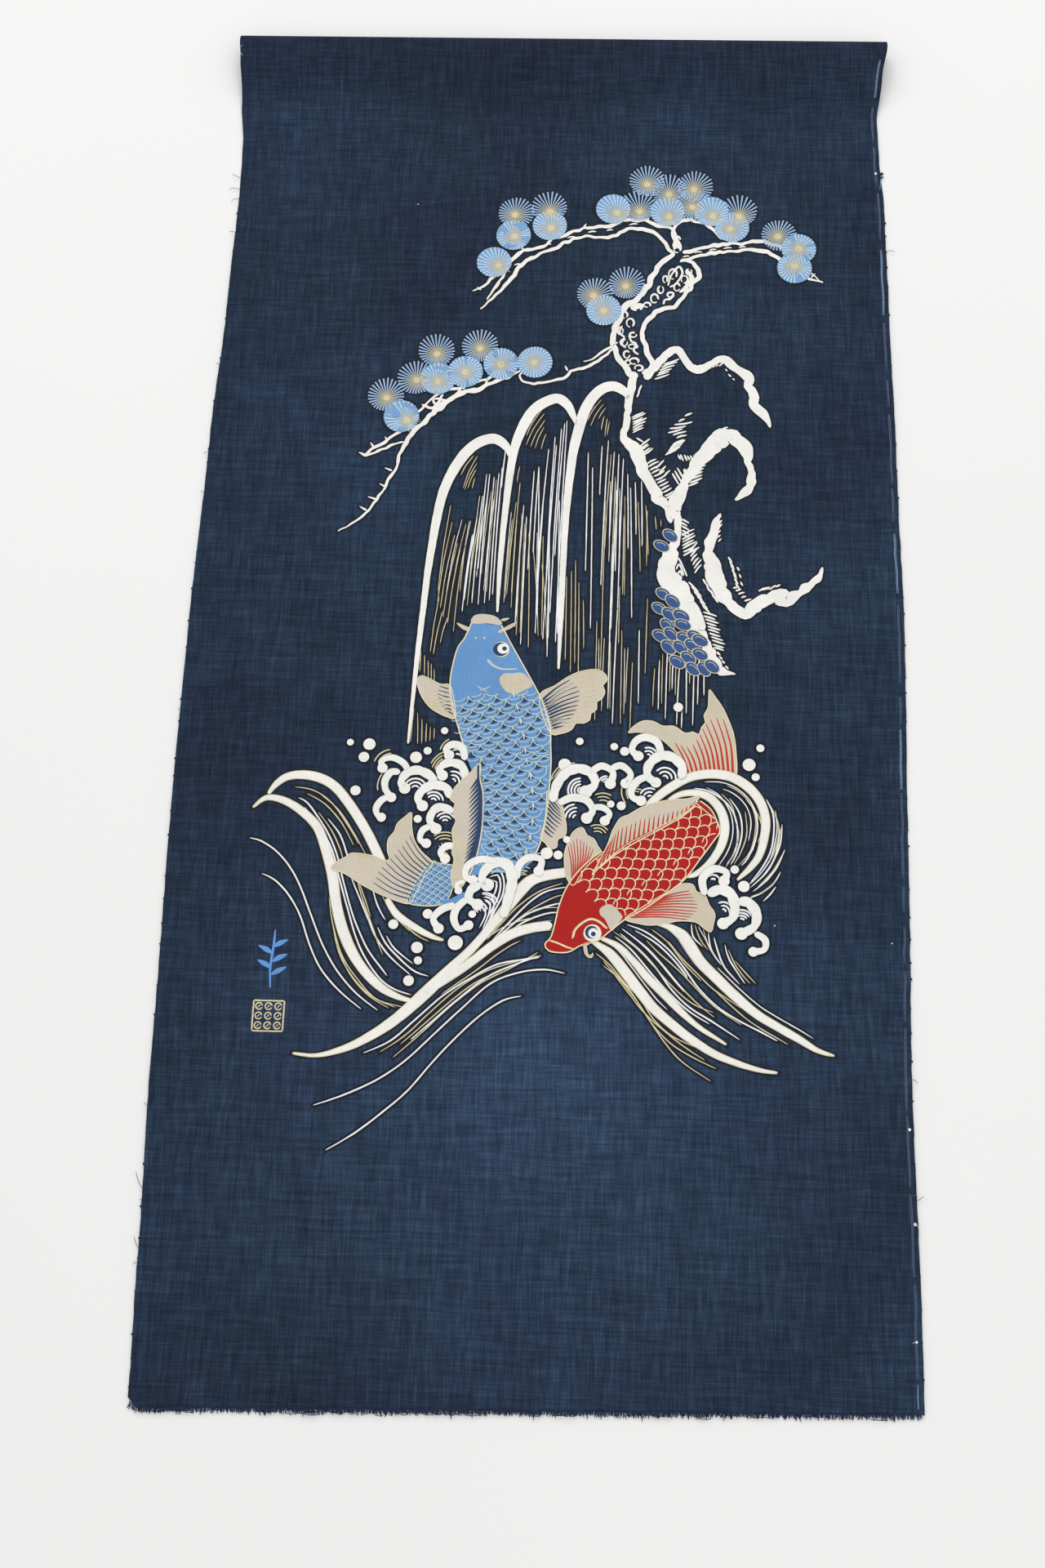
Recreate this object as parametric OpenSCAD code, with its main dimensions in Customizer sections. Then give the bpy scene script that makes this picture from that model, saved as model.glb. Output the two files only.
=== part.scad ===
// Printed cotton panel: a cut length of slub cloth that lies flat with its
// upper end turned under. X runs across the cloth, Y along it towards the
// fold and Z up. The origin is on the underside, midway between the long
// edges and midway between the fold and the fringe.

/* [Cloth] */
// Width of the cloth between its two long edges
cloth_w = 450; // [400:10:600]
// Length from the fold's outer line to the tips of the bottom fringe
cloth_l = 926; // [900:2:1100]
// Thickness of the slub cotton
cloth_t = 0.5; // [0.4:0.05:0.7]
// How far the bottom end is cut out of square across the width
cut_skew = 10; // [0:1:16]

/* [Fold] */
// Height of the soft fold above the surface
fold_h = 16; // [12:1:22]
// Length of the end that is turned under the panel
turned_l = 75; // [50:5:80]
// Length over which the cloth rises to the top of the fold
rise_l = 50; // [40:2:60]

/* [Yarns] */
// Length of the ravelled warp ends at the bottom
fringe_l = 4; // [3:1:8]
// Pitch of the warp ends in the fringe
fringe_pitch = 3; // [2.5:0.5:5]
// Distance of the tracer yarn from the right edge
tracer_inset = 4; // [4:1:12]

/* [Print] */
// Thickness of one printed film
film_t = 0.08; // [0.05:0.01:0.1]

/* [Hidden] */

half_w = cloth_w / 2;
half_l = cloth_l / 2;
fold_r = fold_h / 2;
fold_y = half_l - fold_r;
turned_y = fold_y - turned_l;
// The panel passes over the turned-under end with this much room below it
under_gap = 0.3;
step_l = 12;
flat_end_y = turned_y - step_l - 1;
yarn_d = 0.4;
loose_l = 8;
navy = [0.16, 0.21, 0.33];
white = [0.93, 0.92, 0.88];
gold = [0.80, 0.74, 0.52];
beige = [0.78, 0.73, 0.65];

// ---- curves ----

// One step of a Catmull-Rom spline
function between(a, b, c, d, t) =
    0.5 * (2 * b + (c - a) * t + (2 * a - 5 * b + 4 * c - d) * t * t
        + (3 * b - a - 3 * c + d) * t * t * t);
// A smooth curve through the points p, with n steps between two points
function spline(p, n) = let (last = len(p) - 1)
    [for (i = [0:last - 1]) for (k = [0:n - 1])
        between(p[max(i - 1, 0)], p[i], p[i + 1], p[min(i + 2, last)], k / n), p[last]];
// A smooth closed curve through the points p
function ring(p, n) = let (m = len(p))
    [for (i = [0:m - 1]) for (k = [0:n - 1])
        between(p[(i + m - 1) % m], p[i], p[(i + 1) % m], p[(i + 2) % m], k / n)];
function reversed(p) = [for (i = [len(p) - 1:-1:0]) p[i]];
// Unit normal of the curve q at its point i
function normal(q, i) = let (a = q[max(i - 1, 0)], b = q[min(i + 1, len(q) - 1)],
    d = [b[0] - a[0], b[1] - a[1]]) [-d[1], d[0]] / norm(d);
// One side of a stroke whose points are [x, y, width]
function side(q, s) = [for (i = [0:len(q) - 1])
    [q[i][0], q[i][1]] + s * normal(q, i) * q[i][2] / 2];
function stroke_outline(q) = concat(side(q, 1), reversed(side(q, -1)));
// A repeatable number from 0 to 1 for the whole number i
function scatter(i) = let (v = sin(i * 78.2 + 12.9) * 437.6) v - floor(v);
// A smooth step from 0 to 1
function ease(u) = let (v = min(max(u, 0), 1)) v * v * (3 - 2 * v);

module stroke(p, n = 3) {
    polygon(stroke_outline(spline(p, n)));
}

module blob(p, n = 3) {
    polygon(ring(p, n));
}

// A printed film at one of the levels above the cloth
module film(level) {
    translate([0, 0, cloth_t + level * film_t]) linear_extrude(film_t) children();
}

// ---- cloth ----

// Left and right ends of the bottom cut
function cut_y(x) = -half_l + fringe_l + cut_skew / 2 * (1 + x / half_w);
// Height of the raised end's underside
function under_z(y) = (cloth_t + under_gap) * ease((y - flat_end_y) / step_l)
    + (fold_h - 2 * cloth_t - under_gap) * ease((y - fold_y + rise_l) / rise_l);

// Cloth swept across the whole width from a profile drawn as [y, z]
module across_width() {
    translate([-half_w, 0, 0]) rotate([90, 0, 90]) linear_extrude(cloth_w) children();
}

module main_cloth() {
    color(navy) linear_extrude(cloth_t) polygon([
        [-half_w, cut_y(-half_w)], [half_w, cut_y(half_w)],
        [half_w, flat_end_y], [-half_w, flat_end_y]]);
}

module raised_end() {
    steps = 28;
    line = [for (i = [0:steps]) let (y = flat_end_y + (fold_y - flat_end_y) * i / steps)
        [y, under_z(y)]];
    top = [for (p = line) p + [0, cloth_t]];
    color(navy) across_width() polygon(concat(line, reversed(top)));
}

// A quarter of the soft fold, from angle a to angle a + 90
module fold_quarter(a) {
    steps = 8;
    arc = function (r) [for (i = [0:steps]) let (t = a + 90 * i / steps)
        [fold_y + r * cos(t), fold_r + r * sin(t)]];
    across_width() polygon(concat(arc(fold_r), reversed(arc(fold_r - cloth_t))));
}

module fold_top() {
    color(navy) fold_quarter(0);
}

module fold_bottom() {
    color(navy) fold_quarter(-90);
}

module turned_under_end() {
    color(navy) translate([-half_w, turned_y, 0]) cube([cloth_w, turned_l, cloth_t]);
}

// ---- yarns ----

module bottom_fringe() {
    count = floor(cloth_w / fringe_pitch);
    color(navy) for (i = [0:count - 1]) {
        x = -half_w + fringe_pitch * (i + 0.5);
        l = i % 7 == 0 ? fringe_l : fringe_l * (0.6 + 0.4 * scatter(i));
        y = i == 0 ? -half_l : cut_y(x) - l;
        translate([x - yarn_d / 2, y, 0]) cube([yarn_d, cut_y(x) - y, yarn_d]);
    }
}

// Yarn ends that leave a long edge, as rows of [y, length, rise]; s is -1 on
// the left and 1 on the right
module edge_ends(s, rows) {
    color(navy) for (r = rows) translate([s * half_w, r[0], 0]) linear_extrude(yarn_d)
        polygon([[0, 0], [s * r[1], r[2]], [s * r[1], r[2] + yarn_d], [0, yarn_d]]);
}

module left_edge_ends() {
    edge_ends(-1, [[352, 7, 3], [343, loose_l, 0], [335, 6, -2], [308, 5, 1], [205, 3, 2],
        [140, 4, -1], [110, 3, 2], [-290, 5, 2], [-305, 6, -2], [-345, 7, 1],
        [-362, 4, 3], [-380, 5, -1]]);
}

module right_edge_ends() {
    edge_ends(1, [[358, 3, 1], [300, loose_l, 0], [-262, 4, -2], [-332, 5, 3]]);
}

module tracer_yarn() {
    color([0.55, 0.66, 0.80])
        translate([half_w - tracer_inset, cut_y(half_w) + 1, cloth_t])
            cube([1, flat_end_y - cut_y(half_w) - 2, film_t]);
}

module slub_knots() {
    color(white) for (y = [352, -262, -332, -337])
        translate([half_w - tracer_inset + 2.5, y, cloth_t]) cylinder(h = 0.8, d = 2, $fn = 24);
}

// ---- print: ground ----

module ground_print() {
    color([0.11, 0.15, 0.23]) film(0) {
        blob([[-84, -58], [-80, 60], [-66, 122], [-38, 153], [-27, 160], [0, 186], [24, 186],
            [42, 195], [56, 216], [80, 222], [108, 214], [130, 196], [120, 168], [100, 120],
            [112, 60], [112, 20], [110, -30], [120, -60], [146, -110], [138, -150],
            [170, -246], [120, -250], [60, -226], [14, -196], [-60, -232], [-138, -255],
            [-80, -222], [-122, -170], [-146, -110], [-168, -96], [-130, -84], [-110, -62]], 2);
    }
}

// ---- print: waterfall ----

module waterfall_arches() {
    color(white) film(2) {
        stroke([[-83, -58, 1.5], [-80, 0, 3.5], [-76, 60, 5], [-71, 100, 6.5], [-58, 139, 8],
            [-46, 151, 8], [-37, 153, 8], [-31, 150, 6]]);
        stroke([[-30.5, 30, 1.5], [-30, 60, 3.5], [-28, 100, 4.5], [-24, 142, 6],
            [-11, 177, 8], [2, 184, 8], [10, 180, 7], [15, 170, 3]]);
        stroke([[9.5, -8, 1.5], [10.3, 40, 4], [11.5, 100, 5], [15, 142, 6.5],
            [23.5, 178, 8], [31, 190, 8], [40, 194, 8], [46, 191, 6]]);
    }
}

// Streaks of falling water: n of them from x0 to x1, between heights y0 and y1
module streaks(n, x0, x1, y0, y1, lean, seed) {
    for (i = [0:n - 1]) {
        x = x0 + (x1 - x0) * i / (n - 1);
        top = y1 - (y1 - y0) * 0.35 * scatter(seed + i);
        foot = y0 + (y1 - y0) * 0.3 * scatter(seed + 50 + i);
        polygon([[x, top], [x + 0.5, top - 8], [x + 0.5 - lean, foot + 8], [x - lean, foot],
            [x - 0.5 - lean, foot + 8], [x - 0.5, top - 8]]);
    }
}

module waterfall_white_lines() {
    color(white) film(3) {
        streaks(8, -62, -36, 32, 132, 5, 1);
        streaks(9, -20, 5, 2, 160, 4, 2);
        streaks(11, 20, 58, -20, 150, 2, 3);
        streaks(7, 70, 97, -42, 2, 1, 4);
    }
}

module waterfall_gold_lines() {
    color(gold) film(4) {
        streaks(7, -60.2, -39, 34, 118, 5, 5);
        streaks(8, -18.2, 2, 0, 120, 4, 6);
        streaks(10, 22, 56, -48, 120, 2, 7);
        streaks(4, 66, 90, -36, 30, 1, 8);
    }
}

// ---- print: waves ----

left_crest = [[-178, -104, 1], [-163, -97, 4], [-150, -100, 6], [-134, -118, 6.5],
    [-124, -148, 7], [-113, -182, 7], [-92, -211, 6], [-74, -221, 2]];
high_crest = [[-166, -94, 1], [-157, -85, 4], [-145, -82, 5], [-128, -89, 6], [-108, -114, 6],
    [-98, -133, 3]];
front_wave = [[-142, -256, 1], [-112, -252.5, 4], [-82, -236, 6], [-60, -211, 7], [-36, -185, 7],
    [-18, -161, 7], [0, -146, 7], [15, -143, 5]];
second_wave = [[-38, -197, 1], [-24, -186, 5], [-8, -178, 6], [6, -175, 5]];
right_front = [[42, -186, 3], [58, -198, 6], [76, -221, 7], [96, -240, 6], [120, -252, 5],
    [144, -260, 1]];
right_middle = [[52, -184, 2], [66, -198, 4], [84, -218, 4], [100, -232, 3], [114, -242, 1]];
right_back = [[80, -172, 4], [94, -182, 7], [112, -204, 7], [140, -229, 6], [175, -249, 1]];
curl_outer = [[70, -93, 3], [86, -80, 6], [108, -75, 6], [127, -82, 6], [138, -102, 6],
    [134, -126, 4], [122, -141, 1]];
curl_inner = [[78, -91, 2], [96, -88, 4], [111, -98, 5], [114, -115, 5], [106, -133, 4],
    [93, -142, 1]];

module wave_bands() {
    color(white) film(2) for (w = [left_crest, high_crest, front_wave, second_wave, right_front,
        right_middle, right_back, curl_outer, curl_inner]) stroke(w);
}

// A thin line beside a wave, d away from it and w wide
function beside(p, d, w) = let (q = spline(p, 2))
    [for (i = [1:len(q) - 2]) let (m = [q[i][0], q[i][1]] + d * normal(q, i)) [m[0], m[1], w]];

module beside_lines(rows) {
    for (r = rows) polygon(stroke_outline(beside(r[0], r[1], 0.9)));
}

module wave_white_lines() {
    color(white) film(3) {
        beside_lines([[left_crest, 6.5], [left_crest, 11], [high_crest, -7], [front_wave, -7.5],
            [front_wave, -12], [right_front, -6.5], [right_back, -8], [curl_outer, -6.5],
            [curl_inner, 6]]);
        stroke([[-178, -124, 0.8], [-152, -139, 1], [-137, -168, 1], [-117, -203, 1],
            [-93, -229, 0.8]]);
        stroke([[-168, -146, 0.8], [-148, -162, 1], [-132, -193, 1], [-103, -229, 0.8]]);
        stroke([[-127, -286, 0.8], [-92, -270, 1], [-62, -244, 1], [-20, -207, 1],
            [18, -203, 0.8]]);
        stroke([[-118, -312, 0.8], [-76, -282, 1], [-47, -248, 1], [-8, -218, 0.8]]);
    }
}

module wave_gold_lines() {
    color(gold) film(4)
        beside_lines([[left_crest, -5.5], [left_crest, 8.5], [high_crest, -9.5],
            [front_wave, -10], [right_front, -9], [right_front, 5.5], [right_back, -10.5],
            [curl_outer, 5.5], [curl_outer, -9]]);
}

// One curl of foam: a C-shaped stroke of radius r that opens at angle a
module foam_curl(x, y, r, a) {
    turn = 300;
    steps = 9;
    translate([x, y]) rotate(a) polygon(stroke_outline([for (i = [0:steps])
        let (u = i / steps, t = turn * u, q = r * (0.95 - 0.6 * u))
            [q * cos(t), q * sin(t), r * (0.35 + 0.2 * sin(180 * u))]]));
}

curls = [[-94, -73, 9, 200], [-78, -82, 8, 150], [-89, -98, 7, 120], [-66, -97, 8, 160],
    [-61, -112, 7, 140], [-57, -65, 7, 160], [-73, -121, 6, 90], [-26, -142, 8, 20],
    [-36, -158, 8, 110], [-6, -137, 8, 60], [-47, -173, 7, 100], [-62, -174, 6, 60],
    [26, -82, 10, 200], [44, -78, 7, 30], [24, -104, 9, 150], [40, -104, 6, 30],
    [66, -60, 9, 160], [78, -74, 8, 60], [61, -89, 7, 150], [106, -143, 7, 60],
    [111, -161, 9, 60], [126, -169, 7, 40], [133, -185, 6, 30]];

module foam_curls() {
    color(white) film(9) for (c = curls) foam_curl(c[0], c[1], c[2], c[3]);
}

module spray_drops() {
    drops = [[-111, -58, 2.5], [-115, -68, 2], [-125, -57, 2], [-121, -92, 3], [-77, -68, 4],
        [-69, -63, 2.5], [-58, -50, 3], [-76, -108, 2.5], [-96, -183, 2.5], [-71, -190, 3.5],
        [-75, -208, 3], [-86, -176, 3], [24, -55, 2.5], [46, -58, 2.5], [52, -62, 3],
        [15, -72, 4], [85, -32, 3], [136, -58, 2.5], [129, -69, 4], [133, -77, 2.5],
        [6, -128, 3.5], [13, -130, 2.5], [119, -136, 2.5], [124, -147, 3.5]];
    color(white) film(9) for (d = drops) translate([d[0], d[1]]) circle(r = d[2], $fn = 24);
}

// ---- print: pine ----

module pine_branches() {
    color(white) film(5) {
        stroke([[54, 202, 6], [43, 219, 5], [42, 240, 5], [52, 258, 6], [66, 278, 6],
            [79, 294, 4]]);
        stroke([[66, 206, 4], [60, 226, 5], [64, 246, 4], [82, 256, 5], [95, 278, 4],
            [89, 290, 3]]);
        stroke([[76, 299, 3], [60, 314, 4], [38, 309, 3], [8, 305, 3], [-20, 288, 4],
            [-36, 266, 3], [-52, 250, 1]]);
        stroke([[84, 299, 4], [77, 317, 4], [48, 323, 3], [5, 311, 3], [-26, 294, 4],
            [-56, 265, 2]]);
        stroke([[88, 295, 3], [116, 302, 4], [148, 301, 4], [164, 284, 3], [180, 275, 1]]);
        stroke([[83, 310, 3], [86, 322, 4], [104, 318, 4], [118, 308, 2]]);
        stroke([[38, 225, 3], [22, 212, 3], [10, 200, 2], [-14, 196, 2], [-42, 194, 4],
            [-70, 182, 5], [-88, 161, 4], [-98, 144, 3], [-106, 118, 2], [-135, 87, 1]]);
        stroke([[-100, 147, 2], [-114, 143, 3], [-126, 141, 1]]);
    }
}

open_fans = [[-28, 327], [-7, 332], [60, 355], [77, 345], [93, 350], [54, 334], [124, 331],
    [151, 311], [47, 273], [27, 262], [-50, 223], [-78, 219], [-91, 195], [-109, 183]];
full_fans = [[-5, 318], [-31, 307], [-42, 288], [38, 330], [76, 328], [104, 329], [119, 318],
    [165, 301], [161, 287], [33, 251], [-79, 197], [-58, 204], [-36, 210], [-13, 210],
    [-98, 169]];
fan_r = 13;

// Needles of an open fan: thin wedges round its centre
module needles(r) {
    rays = 16;
    for (i = [0:rays - 1]) rotate(360 * i / rays)
        polygon([[r * 0.25, -0.3], [r, -0.9], [r, 0.9], [r * 0.25, 0.3]]);
}

module pine_fans() {
    color([0.55, 0.68, 0.86]) film(6) {
        for (f = open_fans) translate(f) needles(fan_r);
        for (f = full_fans) translate(f) circle(r = fan_r, $fn = 48);
    }
}

module pine_centres() {
    color(gold) film(7) for (f = concat(open_fans, full_fans))
        translate([f[0], f[1] - 2]) circle(r = 3, $fn = 24);
}

// ---- print: rock ----

module rock_outline() {
    color(white) film(3) {
        stroke([[62, 204, 3], [80, 222, 5], [96, 208, 5], [112, 216, 6], [128, 203, 6],
            [134, 182, 5], [144, 167, 1]]);
        stroke([[52, 190, 2], [49, 162, 4], [58, 141, 7], [72, 116, 6], [79, 98, 3]]);
        stroke([[83, 100, 4], [88, 122, 5], [104, 145, 8], [116, 158, 7], [128, 146, 5],
            [130, 126, 4], [121, 113, 1]]);
        stroke([[82, 92, 3], [76, 66, 9], [84, 48, 9], [96, 26, 8], [104, 4, 6],
            [118, -8, 1]]);
        stroke([[110, 102, 2], [104, 78, 5], [108, 54, 8], [124, 35, 6], [148, 45, 7],
            [164, 51, 4], [177, 67, 1]]);
    }
}

// Short parallel strokes that shade the rock
module hatch(x, y, n, step, l, a) {
    translate([x, y]) for (i = [0:n - 1]) translate([step[0] * i, step[1] * i]) rotate(a)
        square([l, 0.9], center = true);
}

module rock_hatching() {
    color(white) film(4) {
        hatch(60, 164, 6, [-0.4, 2.5], 9, 50);
        hatch(70, 142, 6, [1.8, -3], 10, -60);
        hatch(78, 160, 6, [1.5, 2.2], 8, 30);
        hatch(68, 205, 5, [2, 1.6], 8, 20);
        hatch(91, 64, 7, [0.2, 3.4], 9, 40);
        hatch(91, 52, 5, [3, -2.5], 9, 45);
        hatch(108, 30, 7, [1.2, -2.6], 9, -12);
        hatch(119, 68, 5, [1, -3.4], 7, -65);
    }
}

// Moss and stones at the water's edge: rows of overlapping blue rounds
moss = [for (row = [0:7]) for (k = [0:2]) [74 + row * 3.6 + k * 5.6, 42 - row * 6 + k * 2.4]];

module moss_stones() {
    color([0.22, 0.36, 0.60]) film(5) for (m = moss) translate(m) circle(r = 2.2, $fn = 20);
}

module moss_outlines() {
    color(gold) film(6) for (m = moss) translate(m) difference() {
        circle(r = 2.9, $fn = 24);
        circle(r = 2.3, $fn = 24);
    }
}

// ---- print: carp ----

// Spine points with the body's width across each of them
blue_spine = [[-38, 21, 20], [-37, 6, 34], [-33, -16, 52], [-28, -35, 57], [-22, -60, 54],
    [-16, -86, 43], [-15, -110, 40], [-19, -134, 35]];
blue_tail_spine = [[-48, -150, 16], [-60, -150, 24], [-76, -152, 12]];
red_spine = [[15, -187, 17], [26, -173, 33], [36, -160, 40], [51, -145.5, 45],
    [66, -135, 43], [82, -123, 37], [98, -109, 28], [104, -102, 24]];

// A point of a carp: along its spine q by index, across it from -1 to 1
function on_carp(q, i, t) = [q[i][0], q[i][1]] + normal(q, i) * t * q[i][2] / 2;

// Scale edges: short arcs across the body from spine step first to step last
module scale_arcs(p, first, last, cols) {
    q = spline(p, 4);
    for (i = [first:last]) for (k = [0:cols - 1]) {
        t = -0.86 + 1.72 * (k + (i % 2 == 0 ? 0.25 : 0.75)) / cols;
        h = 0.3;
        a = on_carp(q, i, t - h / 2);
        b = on_carp(q, i + 1, t);
        c = on_carp(q, i, t + h / 2);
        m = b * 0.6 + (a + c) * 0.2;
        polygon([a, m, c, c * 0.93 + m * 0.07 + (a - m) * 0.14, m + (a + c - 2 * m) * 0.2,
            a * 0.93 + m * 0.07 + (c - m) * 0.14]);
    }
}

module blue_carp_body() {
    color([0.41, 0.60, 0.82]) film(7) {
        stroke(blue_spine, 4);
        stroke(blue_tail_spine, 4);
    }
}

module red_carp_body() {
    color([0.72, 0.12, 0.10]) film(7) stroke(red_spine, 4);
}

module blue_carp_scales() {
    color([0.74, 0.80, 0.78]) film(8) scale_arcs(blue_spine, 12, 26, 6);
}

module red_carp_scales() {
    color(gold) film(8) scale_arcs(red_spine, 8, 26, 5);
}

module blue_carp_fins() {
    color(beige) film(6) {
        blob([[-61, -23], [-72, -16], [-79, -18], [-74, -31], [-60, -40]]);
        blob([[0, -30], [18, -12], [35, -9], [36, -25], [22, -46], [8, -49]]);
        blob([[-42, -80], [-52, -90], [-53, -112], [-50, -142], [-42, -130], [-38, -106]]);
        blob([[9, -94], [16, -108], [11, -124], [5, -116]]);
        blob([[-81, -106], [-91, -122], [-97, -134], [-124, -140], [-98, -154], [-80, -158],
            [-70, -142], [-77, -124]]);
    }
}

module red_carp_fins() {
    color(beige) film(6) {
        blob([[40, -126], [46, -110], [60, -101], [86, -93], [84, -101], [60, -116]]);
        blob([[21, -144], [17, -130], [24, -114], [36, -121], [27, -137]]);
        blob([[60, -168], [80, -152], [92, -148], [106, -164], [102, -174], [84, -170]]);
        blob([[55, -49], [66, -42], [88, -48], [100, -44], [104, -20], [118, -44], [120, -70],
            [92, -71], [78, -57]]);
    }
}

module carp_eyes() {
    color(white) film(8) for (e = [[-27, 5, 4.2], [34, -178, 4.8]]) translate([e[0], e[1]])
        difference() {
            circle(r = e[2], $fn = 32);
            circle(r = e[2] / 2, $fn = 24);
        }
}

// ---- print: corner marks ----

module corner_sprig() {
    leaf = [[0, 0, 0.8], [4, 3, 4], [9, 5, 0.8]];
    color([0.41, 0.60, 0.82]) film(1) translate([-158, -200]) {
        stroke([[0, -14, 1], [-1, 0, 1.2], [1, 18, 1]]);
        for (y = [-8, 0, 8]) {
            translate([0.9, y]) stroke(leaf);
            translate([-1.2, y + 2]) mirror([1, 0]) stroke(leaf);
        }
    }
}

module corner_square() {
    color(gold) film(1) translate([-158, -234]) difference() {
        square([19, 20], center = true);
        for (x = [-6, 0, 6]) for (y = [-6, 0, 6]) translate([x, y]) square(4.2, center = true);
    }
}

main_cloth();
raised_end();
fold_top();
fold_bottom();
turned_under_end();
bottom_fringe();
left_edge_ends();
right_edge_ends();
tracer_yarn();
slub_knots();
ground_print();
waterfall_arches();
waterfall_white_lines();
waterfall_gold_lines();
wave_bands();
wave_white_lines();
wave_gold_lines();
foam_curls();
spray_drops();
pine_branches();
pine_fans();
pine_centres();
rock_outline();
rock_hatching();
moss_stones();
moss_outlines();
blue_carp_body();
blue_carp_scales();
blue_carp_fins();
red_carp_body();
red_carp_scales();
red_carp_fins();
carp_eyes();
corner_sprig();
corner_square();
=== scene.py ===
"""Looks of the printed cotton panel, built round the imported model.

Places on the cloth are written in millimetres, as in the CAD: x across the
cloth, y towards the fold. Meshes are made in metres.
"""
import math
import random

import bpy
from mathutils import Matrix, Vector, geometry, noise


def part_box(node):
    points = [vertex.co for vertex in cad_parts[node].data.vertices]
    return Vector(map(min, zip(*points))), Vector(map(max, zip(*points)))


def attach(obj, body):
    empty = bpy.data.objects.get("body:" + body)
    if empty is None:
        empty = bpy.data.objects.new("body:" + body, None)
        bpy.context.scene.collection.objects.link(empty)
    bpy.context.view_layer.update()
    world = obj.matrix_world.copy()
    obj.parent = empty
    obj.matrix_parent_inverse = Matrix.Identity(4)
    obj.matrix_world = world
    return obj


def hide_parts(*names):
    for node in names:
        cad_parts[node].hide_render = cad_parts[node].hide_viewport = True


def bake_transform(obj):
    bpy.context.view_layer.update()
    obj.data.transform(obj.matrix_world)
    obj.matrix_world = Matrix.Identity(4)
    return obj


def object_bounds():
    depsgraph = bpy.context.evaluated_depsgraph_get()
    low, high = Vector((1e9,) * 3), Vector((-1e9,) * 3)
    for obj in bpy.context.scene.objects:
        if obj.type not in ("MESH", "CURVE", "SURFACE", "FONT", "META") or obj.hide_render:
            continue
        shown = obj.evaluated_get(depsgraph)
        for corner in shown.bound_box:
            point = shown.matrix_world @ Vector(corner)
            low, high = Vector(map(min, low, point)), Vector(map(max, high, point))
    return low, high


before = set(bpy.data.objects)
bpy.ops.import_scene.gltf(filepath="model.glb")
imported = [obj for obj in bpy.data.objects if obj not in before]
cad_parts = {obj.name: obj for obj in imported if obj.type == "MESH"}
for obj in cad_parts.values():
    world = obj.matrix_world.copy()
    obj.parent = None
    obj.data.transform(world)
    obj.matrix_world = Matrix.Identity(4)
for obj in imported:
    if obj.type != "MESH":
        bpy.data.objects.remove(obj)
cad_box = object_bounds()
random.seed(7)

# ---- sizes, in millimetres ----

MM = 0.001
PANEL_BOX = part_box("main_cloth")
FOLD_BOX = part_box("fold_top")
TURNED_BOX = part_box("turned_under_end")
HALF_W = PANEL_BOX[1][0] / MM
CLOTH_T = PANEL_BOX[1][2] / MM
FLAT_END_Y = PANEL_BOX[1][1] / MM
FOLD_Y = FOLD_BOX[0][1] / MM
FOLD_H = FOLD_BOX[1][2] / MM
FOLD_R = FOLD_H / 2
TURNED_Y = TURNED_BOX[0][1] / MM
CUT_LOW_Y = PANEL_BOX[0][1] / MM
CUT_SKEW = 10
FRINGE_TIP_Y = cad_box[0][1] / MM
STEP_L = 12
RISE_L = 50
UNDER_GAP = 0.3
TRACER_X = HALF_W - 3.5

# The print lies in thin levels, each patch a hair above the one before
BASE_LIFT = 0.05
LEVEL_STEP = 0.05
PATCH_STEP = 0.0003
PATCH_CYCLE = 8
FILM_T = 0.035
FILL_GRID = 4.0


# ---- camera ----

def add_camera():
    """The camera looks down on the cloth from beyond its fringe."""
    data = bpy.data.cameras.new("view")
    data.lens = 45
    data.sensor_width = 36
    data.clip_start = 0.05
    data.clip_end = 50
    camera = bpy.data.objects.new("view", data)
    tilt = Matrix.Rotation(math.radians(18.3), 3, "X")
    yaw = Matrix.Rotation(math.radians(1.95), 3, "Y")
    roll = Matrix.Rotation(math.radians(1.3), 3, "Z")
    camera.location = (0.0305, -0.465, 1.151)
    camera.rotation_euler = (tilt @ yaw @ roll).to_euler()
    bpy.context.scene.collection.objects.link(camera)
    bpy.context.scene.camera = camera


add_camera()


# ---- small helpers ----

def ease(u):
    """A smooth step from 0 to 1."""
    v = min(max(u, 0.0), 1.0)
    return v * v * (3 - 2 * v)


def wander(x, y, size, seed=0.0):
    """Smooth noise from -1 to 1 whose bumps are about size across."""
    return noise.noise(Vector((x / size, y / size, seed)))


def spline(points, step):
    """A Catmull-Rom curve through points of any size, about step apart."""
    curve = []
    last = len(points) - 1
    for i in range(last):
        a = points[max(i - 1, 0)]
        b = points[i]
        c = points[i + 1]
        d = points[min(i + 2, last)]
        count = max(1, round(math.dist(b[:2], c[:2]) / step))
        for k in range(count):
            curve.append(between(a, b, c, d, k / count))
    curve.append(tuple(float(v) for v in points[last]))
    return curve


def ring(points, step):
    """A closed Catmull-Rom curve through the points."""
    curve = []
    n = len(points)
    for i in range(n):
        a, b, c, d = (points[(i + k) % n] for k in (-1, 0, 1, 2))
        count = max(1, round(math.dist(b[:2], c[:2]) / step))
        for k in range(count):
            curve.append(between(a, b, c, d, k / count))
    return curve


def between(a, b, c, d, t):
    """One place between b and c on a Catmull-Rom curve."""
    return tuple(
        0.5 * (2 * q + (r - p) * t + (2 * p - 5 * q + 4 * r - s) * t * t
               + (3 * q - p - 3 * r + s) * t ** 3)
        for p, q, r, s in zip(a, b, c, d))


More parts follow.
